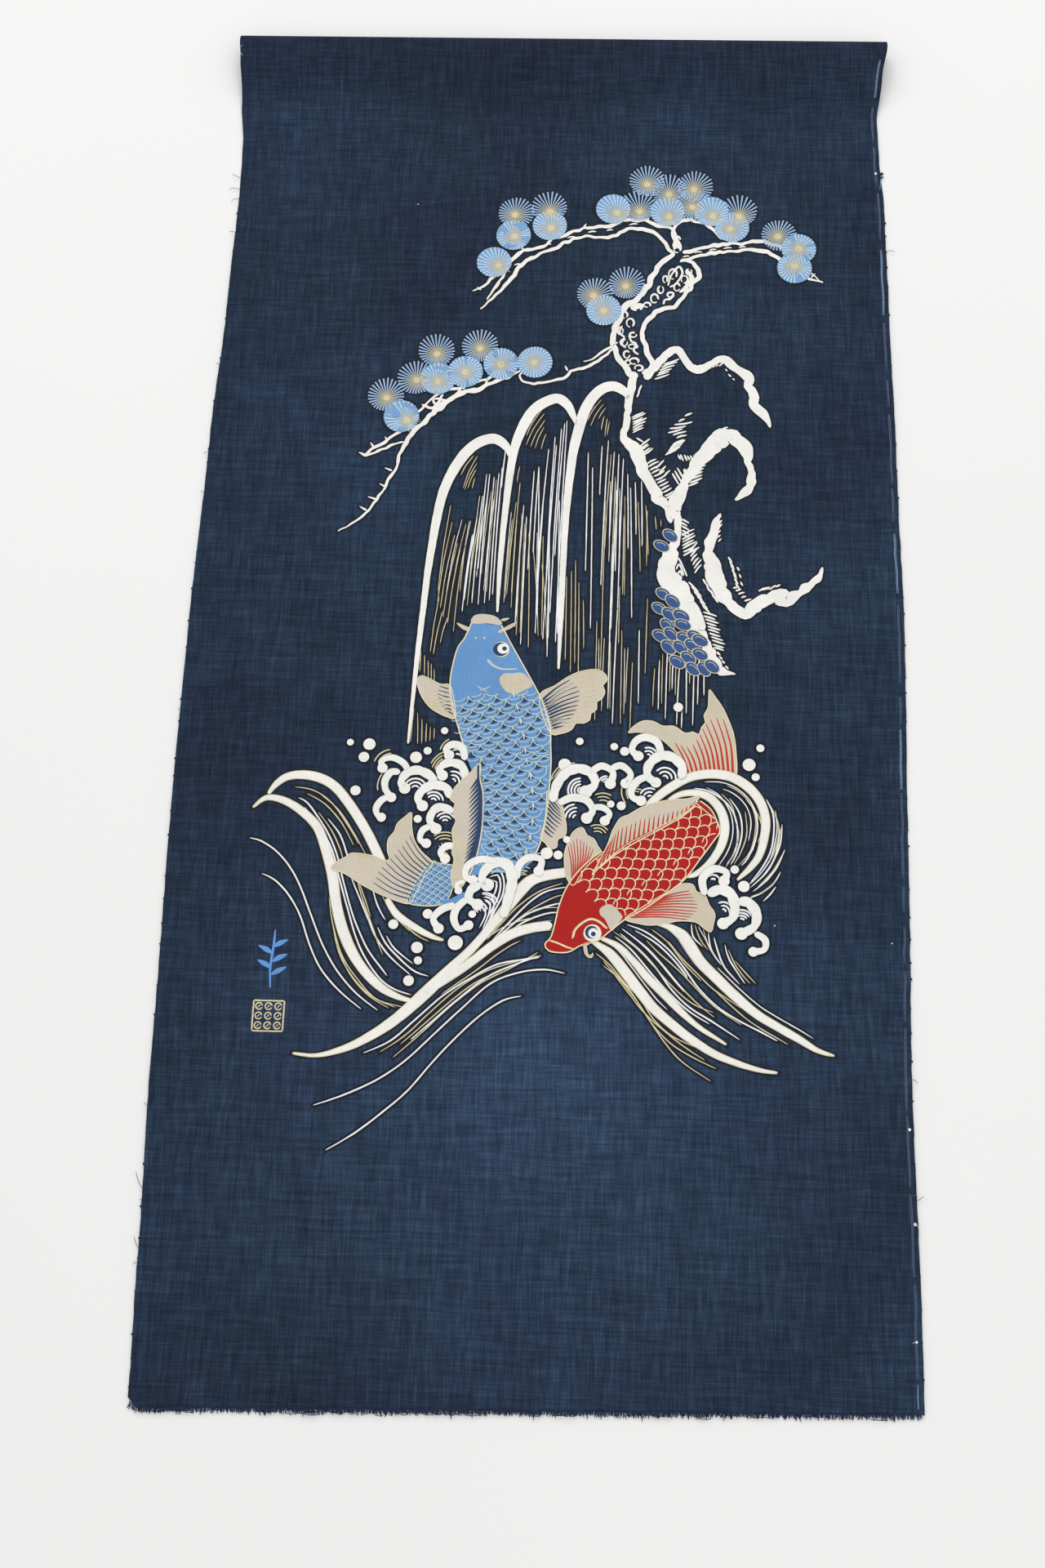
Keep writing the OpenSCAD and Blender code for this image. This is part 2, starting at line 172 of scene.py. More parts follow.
def resample(points, count):
    """The open curve through points as count + 1 evenly spaced places."""
    fine = spline(points, 0.5)
    lengths = [0.0]
    for p, q in zip(fine, fine[1:]):
        lengths.append(lengths[-1] + math.dist(p[:2], q[:2]))
    result = []
    k = 0
    for i in range(count + 1):
        target = lengths[-1] * i / count
        while k < len(fine) - 2 and lengths[k + 1] < target:
            k += 1
        span = max(lengths[k + 1] - lengths[k], 1e-9)
        t = (target - lengths[k]) / span
        result.append(tuple(u + (v - u) * t for u, v in zip(fine[k], fine[k + 1])))
    return result


def normals_of(curve):
    """Unit normals, to the left of the curve's direction."""
    result = []
    last = len(curve) - 1
    for i in range(len(curve)):
        a = curve[max(i - 1, 0)]
        b = curve[min(i + 1, last)]
        dx = b[0] - a[0]
        dy = b[1] - a[1]
        size = math.hypot(dx, dy) or 1.0
        result.append((-dy / size, dx / size))
    return result


def beside(points, gap, start, end):
    """A line gap away from a curve, over the part from start to end."""
    steps = 60
    curve = resample([p[:2] for p in points], steps)
    part = list(zip(curve, normals_of(curve)))[int(start * steps):int(end * steps) + 1:4]
    return [(x + nx * gap, y + ny * gap) for (x, y), (nx, ny) in part]


# ---- the cloth's surface ----

# How far each long edge stands right of straight, as (y, shift)
LEFT_EDGE = [(-460, 4.0), (-445, 3.5), (-380, 2.0), (-260, -1.0), (-80, -3.0), (20, -2.5),
             (150, 0.0), (250, 3.5), (340, 5.0), (380, 4.5), (410, 1.5), (460, -1.0)]
RIGHT_EDGE = [(-460, 0.0), (-400, 0.0), (-270, -1.5), (-120, 0.5), (20, 2.2), (150, 0.5),
              (250, -1.5), (330, -2.3), (375, -5.0), (405, -6.0), (430, -3.0), (460, 1.0)]


# The edges wander only outside this distance from the middle
EDGE_FROM_X = 175
# Size of the worn corner at the left end of the cut
WORN_W = 7
WORN_H = 6


def edge_shift(y, table):
    """How far the edge stands right of straight at height y."""
    for (y0, s0), (y1, s1) in zip(table, table[1:]):
        if y <= y1:
            return s0 + (s1 - s0) * ease((y - y0) / (y1 - y0))
    return table[-1][1]


def bowed_x(x, y):
    """Place across the cloth once its edges wander as real ones do."""
    near_edge = ease((abs(x) - EDGE_FROM_X) / (HALF_W - EDGE_FROM_X))
    table = LEFT_EDGE if x < 0 else RIGHT_EDGE
    fine = 0.35 * wander(y, 0, 9, 3.1 if x < 0 else 8.4)
    return x + near_edge * (edge_shift(y, table) + fine)


def cut_y(x):
    """Where the bottom cut runs: a little out of square, with a worn corner."""
    y = CUT_LOW_Y + CUT_SKEW / 2 * (1 + x / HALF_W) + 0.5 * wander(x, 0, 6, 5.5)
    worn = max(0.0, -HALF_W + WORN_W - x) / WORN_W
    return y + WORN_H * (1 - math.sqrt(1 - worn * worn))


def ripple(x, y):
    """Soft waves of cloth that lies loose on a table."""
    broad = 0.5 + 0.5 * wander(x, y, 150, 1.0)
    narrow = 0.5 + 0.5 * wander(x, y, 45, 4.0)
    settled = ease((FLAT_END_Y - 10 - y) / 60)
    return (0.9 * broad + 0.25 * narrow) * settled


def under_z(y):
    """Height of the raised end's underside, as in the CAD."""
    step = (CLOTH_T + UNDER_GAP) * ease((y - FLAT_END_Y) / STEP_L)
    rise = (FOLD_H - 2 * CLOTH_T - UNDER_GAP) * ease((y - FOLD_Y + RISE_L) / RISE_L)
    return step + rise


def top_z(x, y):
    """Height of the cloth's upper face."""
    return under_z(y) + CLOTH_T + ripple(x, y)


def on_cloth(x, y, lift=0.0):
    """A point above the cloth, in metres."""
    return (x * MM, y * MM, (top_z(x, y) + lift) * MM)


def new_object(name, points, faces, material, smooth=True):
    """A mesh object with one material, put into the scene."""
    mesh = bpy.data.meshes.new(name)
    mesh.from_pydata(points, [], faces)
    mesh.validate()
    mesh.materials.append(material)
    mesh.polygons.foreach_set("use_smooth", [smooth] * len(mesh.polygons))
    mesh.update()
    obj = bpy.data.objects.new(name, mesh)
    bpy.context.scene.collection.objects.link(obj)
    return obj


# ---- materials ----

class Shader:
    """A material's node tree with short calls for the nodes it needs."""

    def __init__(self, name, roughness, sheen=0.0, specular=0.3):
        self.material = bpy.data.materials.new(name)
        self.material.use_nodes = True
        self.nodes = self.material.node_tree.nodes
        self.links = self.material.node_tree.links
        self.surface = self.nodes["Principled BSDF"]
        self.surface.inputs["Roughness"].default_value = roughness
        self.surface.inputs["Sheen Weight"].default_value = sheen
        self.surface.inputs["Sheen Roughness"].default_value = 0.6
        self.surface.inputs["Specular IOR Level"].default_value = specular
        self.place = self.nodes.new("ShaderNodeTexCoord").outputs["Object"]

    def link(self, source, target):
        self.links.new(source, target)

    def noise(self, scale, detail=2.0, roughness=0.5, offset=0.0):
        """Noise whose scale, in cells per metre, may differ along x, y and z."""
        mapping = self.nodes.new("ShaderNodeMapping")
        mapping.inputs["Scale"].default_value = scale
        mapping.inputs["Location"].default_value = (offset, offset * 1.7, offset * 0.6)
        self.link(self.place, mapping.inputs["Vector"])
        node = self.nodes.new("ShaderNodeTexNoise")
        node.inputs["Scale"].default_value = 1.0
        node.inputs["Detail"].default_value = detail
        node.inputs["Roughness"].default_value = roughness
        self.link(mapping.outputs["Vector"], node.inputs["Vector"])
        return node.outputs["Fac"]

    def patch(self, centre, reach):
        """A soft round area: 1 at its centre, falling to 0 at its reach in x and y."""
        mapping = self.nodes.new("ShaderNodeMapping")
        mapping.inputs["Scale"].default_value = (1 / reach[0], 1 / reach[1], 0)
        mapping.inputs["Location"].default_value = (-centre[0] / reach[0], -centre[1] / reach[1], 0)
        self.link(self.place, mapping.inputs["Vector"])
        node = self.nodes.new("ShaderNodeTexGradient")
        node.gradient_type = "SPHERICAL"
        self.link(mapping.outputs["Vector"], node.inputs["Vector"])
        return node.outputs["Fac"]

    def ramp(self, factor, stops):
        """A ramp with stops of (position, grey or linear colour)."""
        node = self.nodes.new("ShaderNodeValToRGB")
        elements = node.color_ramp.elements
        while len(elements) < len(stops):
            elements.new(0.5)
        for element, (position, value) in zip(elements, stops):
            element.position = position
            colour = value if isinstance(value, tuple) else (value, value, value)
            element.color = (*colour, 1.0)
        self.link(factor, node.inputs["Fac"])
        return node.outputs["Color"]

    def mix(self, factor, first, second, blend="MIX"):
        """Blend two colours, each a socket or a linear colour."""
        node = self.nodes.new("ShaderNodeMix")
        node.data_type = "RGBA"
        node.blend_type = blend
        self.feed(node.inputs[0], factor)
        self.feed(node.inputs[6], first)
        self.feed(node.inputs[7], second)
        return node.outputs[2]

    def feed(self, socket, value):
        """Set a socket to a value, or link another socket to it."""
        if isinstance(value, tuple):
            socket.default_value = (*value, 1.0)
        elif isinstance(value, (int, float)):
            socket.default_value = value
        else:
            self.link(value, socket)

    def maths(self, operation, first, second):
        node = self.nodes.new("ShaderNodeMath")
        node.operation = operation
        self.feed(node.inputs[0], first)
        self.feed(node.inputs[1], second)
        return node.outputs[0]

    def colour(self, socket):
        self.link(socket, self.surface.inputs["Base Color"])

    def bump(self, height, strength, distance):
        node = self.nodes.new("ShaderNodeBump")
        node.inputs["Strength"].default_value = strength
        node.inputs["Distance"].default_value = distance
        self.link(height, node.inputs["Height"])
        self.link(node.outputs["Normal"], self.surface.inputs["Normal"])


def linear(red, green, blue):
    """A linear colour from the 0 to 255 values that a screen shows."""
    return tuple(
        (v / 255) / 12.92 if v <= 10 else ((v / 255 + 0.055) / 1.055) ** 2.4
        for v in (red, green, blue))


def weave_height(shader):
    """Slubs along warp and weft over a fine plain weave, as one height."""
    warp = shader.noise((1300, 30, 1300), 2, 0.6)
    weft = shader.noise((30, 1300, 1300), 2, 0.6, 5.0)
    slubs = shader.maths("ADD", warp, weft)
    weave = plain_weave(shader)
    return shader.maths("ADD", slubs, shader.maths("MULTIPLY", weave, 0.5))


def plain_weave(shader):
    """Over and under of the single yarns, 0.55 mm apart."""
    heights = []
    for direction in ("X", "Y"):
        wave = shader.nodes.new("ShaderNodeTexWave")
        wave.wave_type = "BANDS"
        wave.bands_direction = direction
        wave.inputs["Scale"].default_value = 290
        wave.inputs["Distortion"].default_value = 1.2
        wave.inputs["Detail"].default_value = 1
        wave.inputs["Detail Scale"].default_value = 0.6
        shader.link(shader.place, wave.inputs["Vector"])
        heights.append(wave.outputs["Fac"])
    return shader.maths("MULTIPLY", heights[0], heights[1])


def indigo_cloth(name):
    """Slub cotton dyed unevenly: cross-hatched streaks over soft cloudy patches, with painted shade
    darkening the fold.
    """
    shader = Shader(name, 0.92, specular=0.1)
    clouds = shader.noise((6, 6, 6), 3, 0.55, 2.0)
    base = shader.ramp(clouds, [
        (0.34, linear(35, 44, 63)),
        (0.50, linear(37, 50, 70)),
        (0.68, linear(42, 58, 80))])
    tint = shader.ramp(shader.noise((14, 9, 9), 2, 0.5, 9.0), [(0.42, 0.0), (0.62, 1.0)])
    base = shader.mix(shader.maths("MULTIPLY", tint, 0.45), base, linear(36, 51, 66))
    pale = shader.maths("MULTIPLY", shader.patch((0, -0.25), (0.22, 0.24)), 0.62)
    base = shader.mix(pale, base, linear(58, 79, 107))
    # Painted shade: a darker band over the fold and the rise up to it, where the cloth turns away from
    # the light.
    fold_painted_shade = shader.maths("MULTIPLY", shader.patch((0, 0.47), (0.6, 0.07)), 0.9)
    base = shader.mix(fold_painted_shade, base, linear(32, 37, 55))
    warp_wide = shader.noise((340, 32, 32), 2, 0.6, 1.0)
    warp_fine = shader.noise((950, 55, 55), 2, 0.6, 3.0)
    weft_wide = shader.noise((34, 340, 340), 2, 0.6, 4.0)
    weft_fine = shader.noise((50, 900, 900), 2, 0.6, 6.0)
    for streak, low, high, strength in (
            (warp_wide, 0.36, 0.68, 0.38), (warp_fine, 0.36, 0.70, 0.60),
            (weft_wide, 0.36, 0.70, 0.28), (weft_fine, 0.36, 0.72, 0.52)):
        shade = shader.ramp(streak, [(low, 0.62), (0.52, 1.0), (high, 1.5)])
        base = shader.mix(strength, base, shade, "MULTIPLY")
    shader.colour(base)
    shader.bump(weave_height(shader), 0.35, 0.00025)
    return shader.material


# How much darker the thin places of an ink are
INK_UNEVEN = 0.06


def printed(name, colour, show=0.12, fade=None):
    """Pigment on the weave: the yarns show through as a faint darker grain."""
    shader = Shader(name, 0.8, sheen=0.03, specular=0.25)
    patches = shader.ramp(shader.noise((60, 60, 60), 3, 0.5, 1.0),
                          [(0.3, 1 - INK_UNEVEN), (0.7, 1 + INK_UNEVEN * 0.5)])
    base = shader.mix(1.0, colour, patches, "MULTIPLY")
    if fade:
        amount = shader.ramp(shader.noise((25, 25, 25), 2, 0.5, 3.0), [(0.4, 0.0), (0.7, 1.0)])
        base = shader.mix(amount, base, fade)
    grain_x = shader.noise((1100, 120, 120), 2, 0.6, 2.0)
    grain_y = shader.noise((120, 1100, 1100), 2, 0.6, 7.0)
    grain = shader.ramp(shader.maths("MULTIPLY", grain_x, grain_y), [(0.12, 0.0), (0.34, 1.0)])
    base = shader.mix(show, base, grain, "MULTIPLY")
    shader.colour(base)
    shader.bump(weave_height(shader), 0.3, 0.0002)
    return shader.material


def yarn(name, colour, sheen=0.3):
    """A single spun yarn: soft, fuzzy and uneven along its length."""
    shader = Shader(name, 0.95, sheen=sheen, specular=0.15)
    shade = shader.ramp(shader.noise((700, 700, 700), 3, 0.6), [(0.3, 0.65), (0.7, 1.25)])
    shader.colour(shader.mix(1.0, colour, shade, "MULTIPLY"))
    shader.bump(shader.noise((3500, 3500, 3500), 2, 0.6), 0.5, 0.0001)
    return shader.material


CLOTH = indigo_cloth("indigo_slub_cotton")
YARN = yarn("indigo_yarn_fuzz", linear(38, 52, 80), sheen=0.0)
PALE_YARN = yarn("pale_tracer_yarn", linear(112, 140, 172))
WHITE_YARN = yarn("white_knot_yarn", linear(236, 236, 232))
NAVY = printed("navy_ground", linear(18, 25, 38), show=0.25)
WHITE = printed("white_pigment", linear(238, 236, 231), show=0.06)
COOL_WHITE = printed("cool_white_pigment", linear(236, 238, 240), show=0.05)
GOLD = printed("gold_pigment", linear(214, 203, 164), show=0.08)
FAN_BLUE = printed("fan_blue_pigment", linear(122, 163, 206), show=0.08)
FAN_NEEDLE = printed("needle_pigment", linear(152, 182, 218), show=0.08)
FAN_RAY = printed("fan_ray_pigment", linear(196, 214, 226), show=0.05)
DEEP_BLUE = printed("deep_blue_pigment", linear(54, 86, 138), show=0.12)
CARP_BLUE = printed("carp_blue_pigment", linear(102, 150, 202), show=0.10)
CARP_RED = printed("carp_red_pigment", linear(174, 26, 21), show=0.12)
BEIGE = printed("beige_pigment", linear(205, 195, 173), show=0.08, fade=linear(206, 196, 185))
PALE_GOLD = printed("pale_gold_pigment", linear(230, 220, 182), show=0.06)
GREY_BLUE = printed("grey_blue_pigment", linear(184, 200, 196), show=0.06)
RED_LINE = printed("red_line_pigment", linear(190, 56, 42), show=0.08)
SUNK_YARN = yarn("sunk_tracer_yarn", linear(66, 82, 112))
NAVY_LINE = printed("navy_line_pigment", linear(44, 66, 104), show=0.15)
MARK_BLUE = printed("mark_blue_pigment", linear(96, 150, 216), show=0.10)


# ---- floor and light ----

def add_floor():
    size = 6
    points = [(-size, -size, 0), (size, -size, 0), (size, size, 0), (-size, size, 0)]
    shader = Shader("pale_floor", 0.9, specular=0.1)
    tone = shader.ramp(shader.noise((1.5, 1.5, 1.5), 2, 0.5), [(0.3, 0.83), (0.7, 0.85)])
    shader.colour(tone)
    floor = new_object("floor", points, [(0, 1, 2, 3)], shader.material, smooth=False)
    floor.location.z = -0.0003


def add_light(name, place, size, power):
    data = bpy.data.lights.new(name, "AREA")
    data.shape = "SQUARE"
    data.size = size
    data.energy = power
    light = bpy.data.objects.new(name, data)
    light.location = place
    light.rotation_euler = Vector(place).to_track_quat("Z", "Y").to_euler()
    bpy.context.scene.collection.objects.link(light)


def add_lighting():
    """A pale world and two soft lights."""
    world = bpy.data.worlds.new("soft_studio")
    world.use_nodes = True
    background = world.node_tree.nodes["Background"]
    background.inputs["Color"].default_value = (1.0, 0.995, 0.985, 1.0)
    background.inputs["Strength"].default_value = 0.70
    bpy.context.scene.world = world
    bpy.context.scene.view_settings.view_transform = "Standard"
    add_light("top_softbox", (-0.3, 2.2, 2.0), 2.0, 34)
    add_light("near_softbox", (0.8, -1.6, 2.6), 2.5, 20)


add_floor()
add_lighting()


# ---- cloth ----

def sheet_mesh(name, columns, rows, outer, inner):
    """A closed sheet between two faces, each a function of column and row."""
    points = []
    for face in (outer, inner):
        for j in range(rows + 1):
            for i in range(columns + 1):
                points.append(face(i / columns, j / rows))
    width = columns + 1
    under = width * (rows + 1)
    faces = []
    for j in range(rows):
        for i in range(columns):
            a = j * width + i
            faces.append((a, a + 1, a + 1 + width, a + width))
            faces.append((under + a + width, under + a + 1 + width, under + a + 1, under + a))
    edge = [i for i in range(columns)]
    edge += [j * width + columns for j in range(rows)]
    edge += [rows * width + i for i in range(columns, 0, -1)]
    edge += [j * width for j in range(rows, 0, -1)]
    for a, b in zip(edge, edge[1:] + edge[:1]):
        faces.append((b, a, under + a, under + b))
    return new_object(name, points, faces, CLOTH)


def panel_face(depth):
    """The panel from the cut up to the fold's top line, depth below its face."""
    def place(u, v):
        x = HALF_W * (2 * u - 1)
        low = cut_y(x)
        y = low + (FOLD_Y - low) * v
        slope = (top_z(x, y + 0.5) - top_z(x, y - 0.5)) if y < FOLD_Y - 1 else 0.0
        size = math.hypot(1, slope)
        z = top_z(x, y) - depth / size
        return (bowed_x(x, y) * MM, (y + depth * slope / size) * MM, max(z, 0.0) * MM)
    return place


def fold_face(depth):
    """The fold's half circle and the turned-under end, as one strip."""
    arc_l = math.pi * FOLD_R
    turned_l = FOLD_Y - TURNED_Y
    def place(u, v):
        x = HALF_W * (2 * u - 1)
        s = v * (arc_l + turned_l)
        if s <= arc_l:
            angle = math.pi / 2 - s / FOLD_R
            y = FOLD_Y + (FOLD_R - depth) * math.cos(angle)
            z = FOLD_R + (FOLD_R - depth) * math.sin(angle)
        else:
            y = FOLD_Y - (s - arc_l)
            z = depth
        return (bowed_x(x, min(y, FOLD_Y)) * MM, y * MM, z * MM)
    return place


def smooth_seam(obj, face, columns, rows):
    """Give the sheet its true normals, so that two sheets meet without a line."""
    normals = []
    tiny = 0.002
    for j in range(rows + 1):
        for i in range(columns + 1):
            u = i / columns
            v = j / rows
            du = Vector(face(min(u + tiny, 1), v)) - Vector(face(max(u - tiny, 0), v))
            dv = Vector(face(u, min(v + tiny, 1))) - Vector(face(u, max(v - tiny, 0)))
            normals.append(du.cross(dv).normalized())
    normals += [-n for n in normals]
    obj.data.normals_split_custom_set_from_vertices([tuple(n) for n in normals])


def add_cloth():
    columns = 110
    panel_rows = 220
    panel = sheet_mesh("cloth_panel", columns, panel_rows, panel_face(0), panel_face(CLOTH_T))
    smooth_seam(panel, panel_face(0), columns, panel_rows)
    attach(panel, "panel")
    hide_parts("main_cloth", "raised_end", "fold_top")

    fold_rows = 40
    fold = sheet_mesh("cloth_fold", columns, fold_rows, fold_face(0), fold_face(CLOTH_T))
    smooth_seam(fold, fold_face(0), columns, fold_rows)
    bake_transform(fold)
    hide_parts("fold_bottom", "turned_under_end")
    return panel, fold


panel, fold = add_cloth()


# ---- printing ----

class Print:
    """One printed colour: thin closed patches that follow the cloth."""

    def __init__(self, name, level, material):
        self.name = name
        self.level = level
        self.material = material
        self.points = []
        self.faces = []
        self.patches = 0

    def lift(self):
        """Height of the next patch, a hair above the one before."""
        self.patches += 1
        return BASE_LIFT + self.level * LEVEL_STEP + self.patches % PATCH_CYCLE * PATCH_STEP

    def patch(self, places, faces):
        """Add flat faces over (x, y) places as one closed film."""
        area = 0.0
        for face in faces:
            for i, j in zip(face, face[1:] + face[:1]):
                area += places[i][0] * places[j][1] - places[j][0] * places[i][1]
        if area < 0:
            faces = [tuple(reversed(face)) for face in faces]
        top = self.lift()
        first = len(self.points)
        under = first + len(places)
        self.points += [on_cloth(x, y, top) for x, y in places]
        self.points += [on_cloth(x, y, top - FILM_T) for x, y in places]
        sides = {}
        for face in faces:
            self.faces.append(tuple(first + i for i in face))
            self.faces.append(tuple(under + i for i in reversed(face)))
            for i, j in zip(face, face[1:] + face[:1]):
                if (j, i) in sides:
                    del sides[(j, i)]
                else:
                    sides[(i, j)] = True
        for i, j in sides:
            self.faces.append((first + j, first + i, under + i, under + j))

    def rows(self, rows):
        """A patch from rows of places, each row equally long."""
        width = len(rows[0])
        places = [p for row in rows for p in row]
        faces = []
        for j in range(len(rows) - 1):
            for i in range(width - 1):
                a = j * width + i
                faces.append((a, a + 1, a + 1 + width, a + width))
        self.patch(places, faces)

    def stroke(self, points, rough=0.1, step=1.3, grow=0.0, blunt=False):
        """A brush line through points of (x, y, width)."""
        curve = spline(points, step)
        sides = normals_of(curve)
        lengths = [0.0]
        for p, q in zip(curve, curve[1:]):
            lengths.append(lengths[-1] + math.dist(p[:2], q[:2]))
        rows = []
        for (x, y, width), (nx, ny), at in zip(curve, sides, lengths):
            half = max(width, 0.25) / 2
            end = min(at, lengths[-1] - at)
            if not blunt and end < half:
                half *= math.sqrt(max(1 - (1 - end / half) ** 2, 0.06))
            half += grow / 2
            left = half + rough * wander(x, y, 3.5, 1.5)
            right = half + rough * wander(x, y, 3.5, 6.5)
            row = [(x + nx * left, y + ny * left)]
            if width + grow > 3:
                row.append((x, y))
            row.append((x - nx * right, y - ny * right))
            rows.append(row)
        wide = max(len(row) for row in rows)
        if wide == 3:
            rows = [row if len(row) == 3 else [row[0], middle(row[0], row[1]), row[1]]
                    for row in rows]
        if grow:
            rows = [lengthen(rows[0], rows[1], grow / 2)] + rows
            rows.append(lengthen(rows[-1], rows[-2], grow / 2))
        self.rows(rows)

    def disc(self, x, y, radius, sides=None):
        """A round patch whose edge is a little uneven."""
        sides = sides or max(12, int(radius * 7))
        edge = []
        for i in range(sides):
            angle = math.tau * i / sides
            r = radius * (1 + 0.03 * wander(x + math.cos(angle) * 3, y + math.sin(angle) * 3, 2))
            edge.append((x + r * math.cos(angle), y + r * math.sin(angle)))
        self.star((x, y), edge, max(1, round(radius / 4)))

    def star(self, centre, edge, rings):
        """A patch spread from a centre out to a closed edge."""
        n = len(edge)
        places = [centre]
        for k in range(1, rings + 1):
            t = k / rings
            places += [(centre[0] + (px - centre[0]) * t, centre[1] + (py - centre[1]) * t)
                       for px, py in edge]
        faces = [(0, 1 + i, 1 + (i + 1) % n) for i in range(n)]
        for k in range(rings - 1):
            a = 1 + k * n
            for i in range(n):
                j = (i + 1) % n
                faces.append((a + i, a + n + i, a + n + j, a + j))
        self.patch(places, faces)

    def blob(self, points, rough=0.1):
        """A filled shape inside a smooth closed outline."""
        self.fill([(x + rough * wander(x, y, 3, 2.2), y + rough * wander(x, y, 3, 7.7))
                   for x, y in ring(points, 1.5)])

    def fill(self, edge):
        """A filled shape inside a closed edge."""
        inner = inside_places(edge, FILL_GRID)
        places = [Vector(p) for p in edge + inner]
        n = len(edge)
        border = [(i, (i + 1) % n) for i in range(n)]
        made = geometry.delaunay_2d_cdt(places, border, [], 1, 1e-5)
        self.patch([tuple(p) for p in made[0]], [tuple(f) for f in made[2]])

    def finish(self, *nodes, slot):
        piece = new_object(self.name, self.points, self.faces, self.material, smooth=False)
        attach(piece, "panel")
        if nodes:
            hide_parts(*nodes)


def middle(p, q):
    return ((p[0] + q[0]) / 2, (p[1] + q[1]) / 2)


def lengthen(row, inner, gap):
    """A copy of an end row moved gap outwards, to close a grown stroke."""
    mx, my = middle(row[0], row[-1])
    nx, ny = middle(inner[0], inner[-1])
    size = math.hypot(mx - nx, my - ny) or 1.0
    dx = (mx - nx) / size * gap
    dy = (my - ny) / size * gap
    return [(x + dx, y + dy) for x, y in row]


def inside_places(edge, grid):
    """A grid of places well inside a closed edge."""
    places = []
    x0 = min(p[0] for p in edge)
    x1 = max(p[0] for p in edge)
    y0 = min(p[1] for p in edge)
    y1 = max(p[1] for p in edge)
    for j in range(int((y1 - y0) / grid) + 1):
        for i in range(int((x1 - x0) / grid) + 1):
            place = (x0 + (i + 0.5) * grid, y0 + (j + 0.5) * grid)
            if is_inside(place, edge) and distance_to(place, edge) > grid * 0.35:
                places.append(place)
    return places


def is_inside(place, edge):
    """Whether a place lies inside a closed edge."""
    x, y = place
    inside = False
    for (x0, y0), (x1, y1) in zip(edge, edge[1:] + edge[:1]):
        if (y0 > y) != (y1 > y) and x < x0 + (x1 - x0) * (y - y0) / (y1 - y0):
            inside = not inside
    return inside


def distance_to(place, edge):
    """How far a place is from the nearest corner of an edge."""
    return min(math.dist(place, p) for p in edge)


def draw(prints, points, grow=2.6, **options):
    """A line in its colour, over a wider line of flat navy ground."""
    prints.stroke(points, **options)
    GROUND.stroke(points, grow=grow, rough=0.2, step=3)


GROUND = Print("print_ground", 0, NAVY)


# ---- waterfall ----

ARCHES = [
    [(-83, -60, 1.5), (-81.5, -30, 2.6), (-80, 0, 3.5), (-78, 30, 4.2), (-76, 60, 5),
     (-71.5, 100, 6.5), (-67, 120, 7.2), (-58, 139, 8), (-48, 150, 8), (-37, 153.5, 8),
     (-29, 148, 6), (-26, 140, 2)],
    [(-30.5, 30, 1.5), (-30, 60, 3.5), (-28, 100, 4.5), (-24.5, 140, 6), (-19.5, 160, 7.5),
     (-11, 176, 8), (2, 184, 8), (10, 180, 7), (15, 170, 4), (16.5, 165, 1.5)],
    [(9.5, -8, 1.5), (10, 30, 4), (10.5, 60, 4.3), (11.5, 100, 5), (14.5, 140, 6.5),
     (18, 160, 7.5), (23, 178, 8), (31, 190, 8), (40, 194, 8), (48, 190, 6.5), (51, 184, 2)],
]

# Share of an arch's width that is white
ARCH_SLIM = 0.9
WHITE_FALL_W = 0.74
GOLD_FALL_W = 0.52
CURTAIN_W = 0.45

# Falling lines, as (x at the top, top, x at the foot, foot)
WHITE_FALLS = [
    (-39, 128, -43, 35), (-36, 126, -39, 36), (-33, 129, -36, 38), (-31, 133, -34, 42),
    (-43, 112, -47, 36), (-46, 96, -52, 38), (-48.5, 84, -53, 30), (-41, 128, -44, 60),
    (-29, 148, -31, 118), (-16, 106, -19, 20), (-14, 98, -15, 8), (-10, 131, -12, 60),
    (-7, 134, -9, 72), (-7, 134, -5, 28), (-1, 147, -6, 50), (3, 156, 0, 60), (7, 162, 3, 30),
    (10.5, 168, 7, 10), (9, 166, 5, 70), (4, 150, -1, 12), (-3, 120, -6, 16), (1, 100, 2, 0),
    (7, 110, 8, 16), (25, 145, 25, 60), (28, 134, 29, 20), (34, 150, 33, 114), (38, 154, 35, 50),
    (42, 146, 40, 84), (45, 144, 44, 60), (48, 141, 46, 34), (51, 130, 52, 76), (44, 118, 42, 20),
    (53, 120, 55, 28), (56, 124, 57, 86), (60, 125, 61, 78), (42, 80, 41, -34), (46, 34, 44, -44),
    (60, 20, 60, -30), (73, 0, 72.5, -34), (78, 8, 77, -40), (82, 14, 81, -20), (86, 2, 84, -44),
    (90, 6, 90, -36), (95, -2, 94, -44), (98, 4, 97, -30), (101, -2, 101, -24),
    (87.5, -34, 87, -46),
]
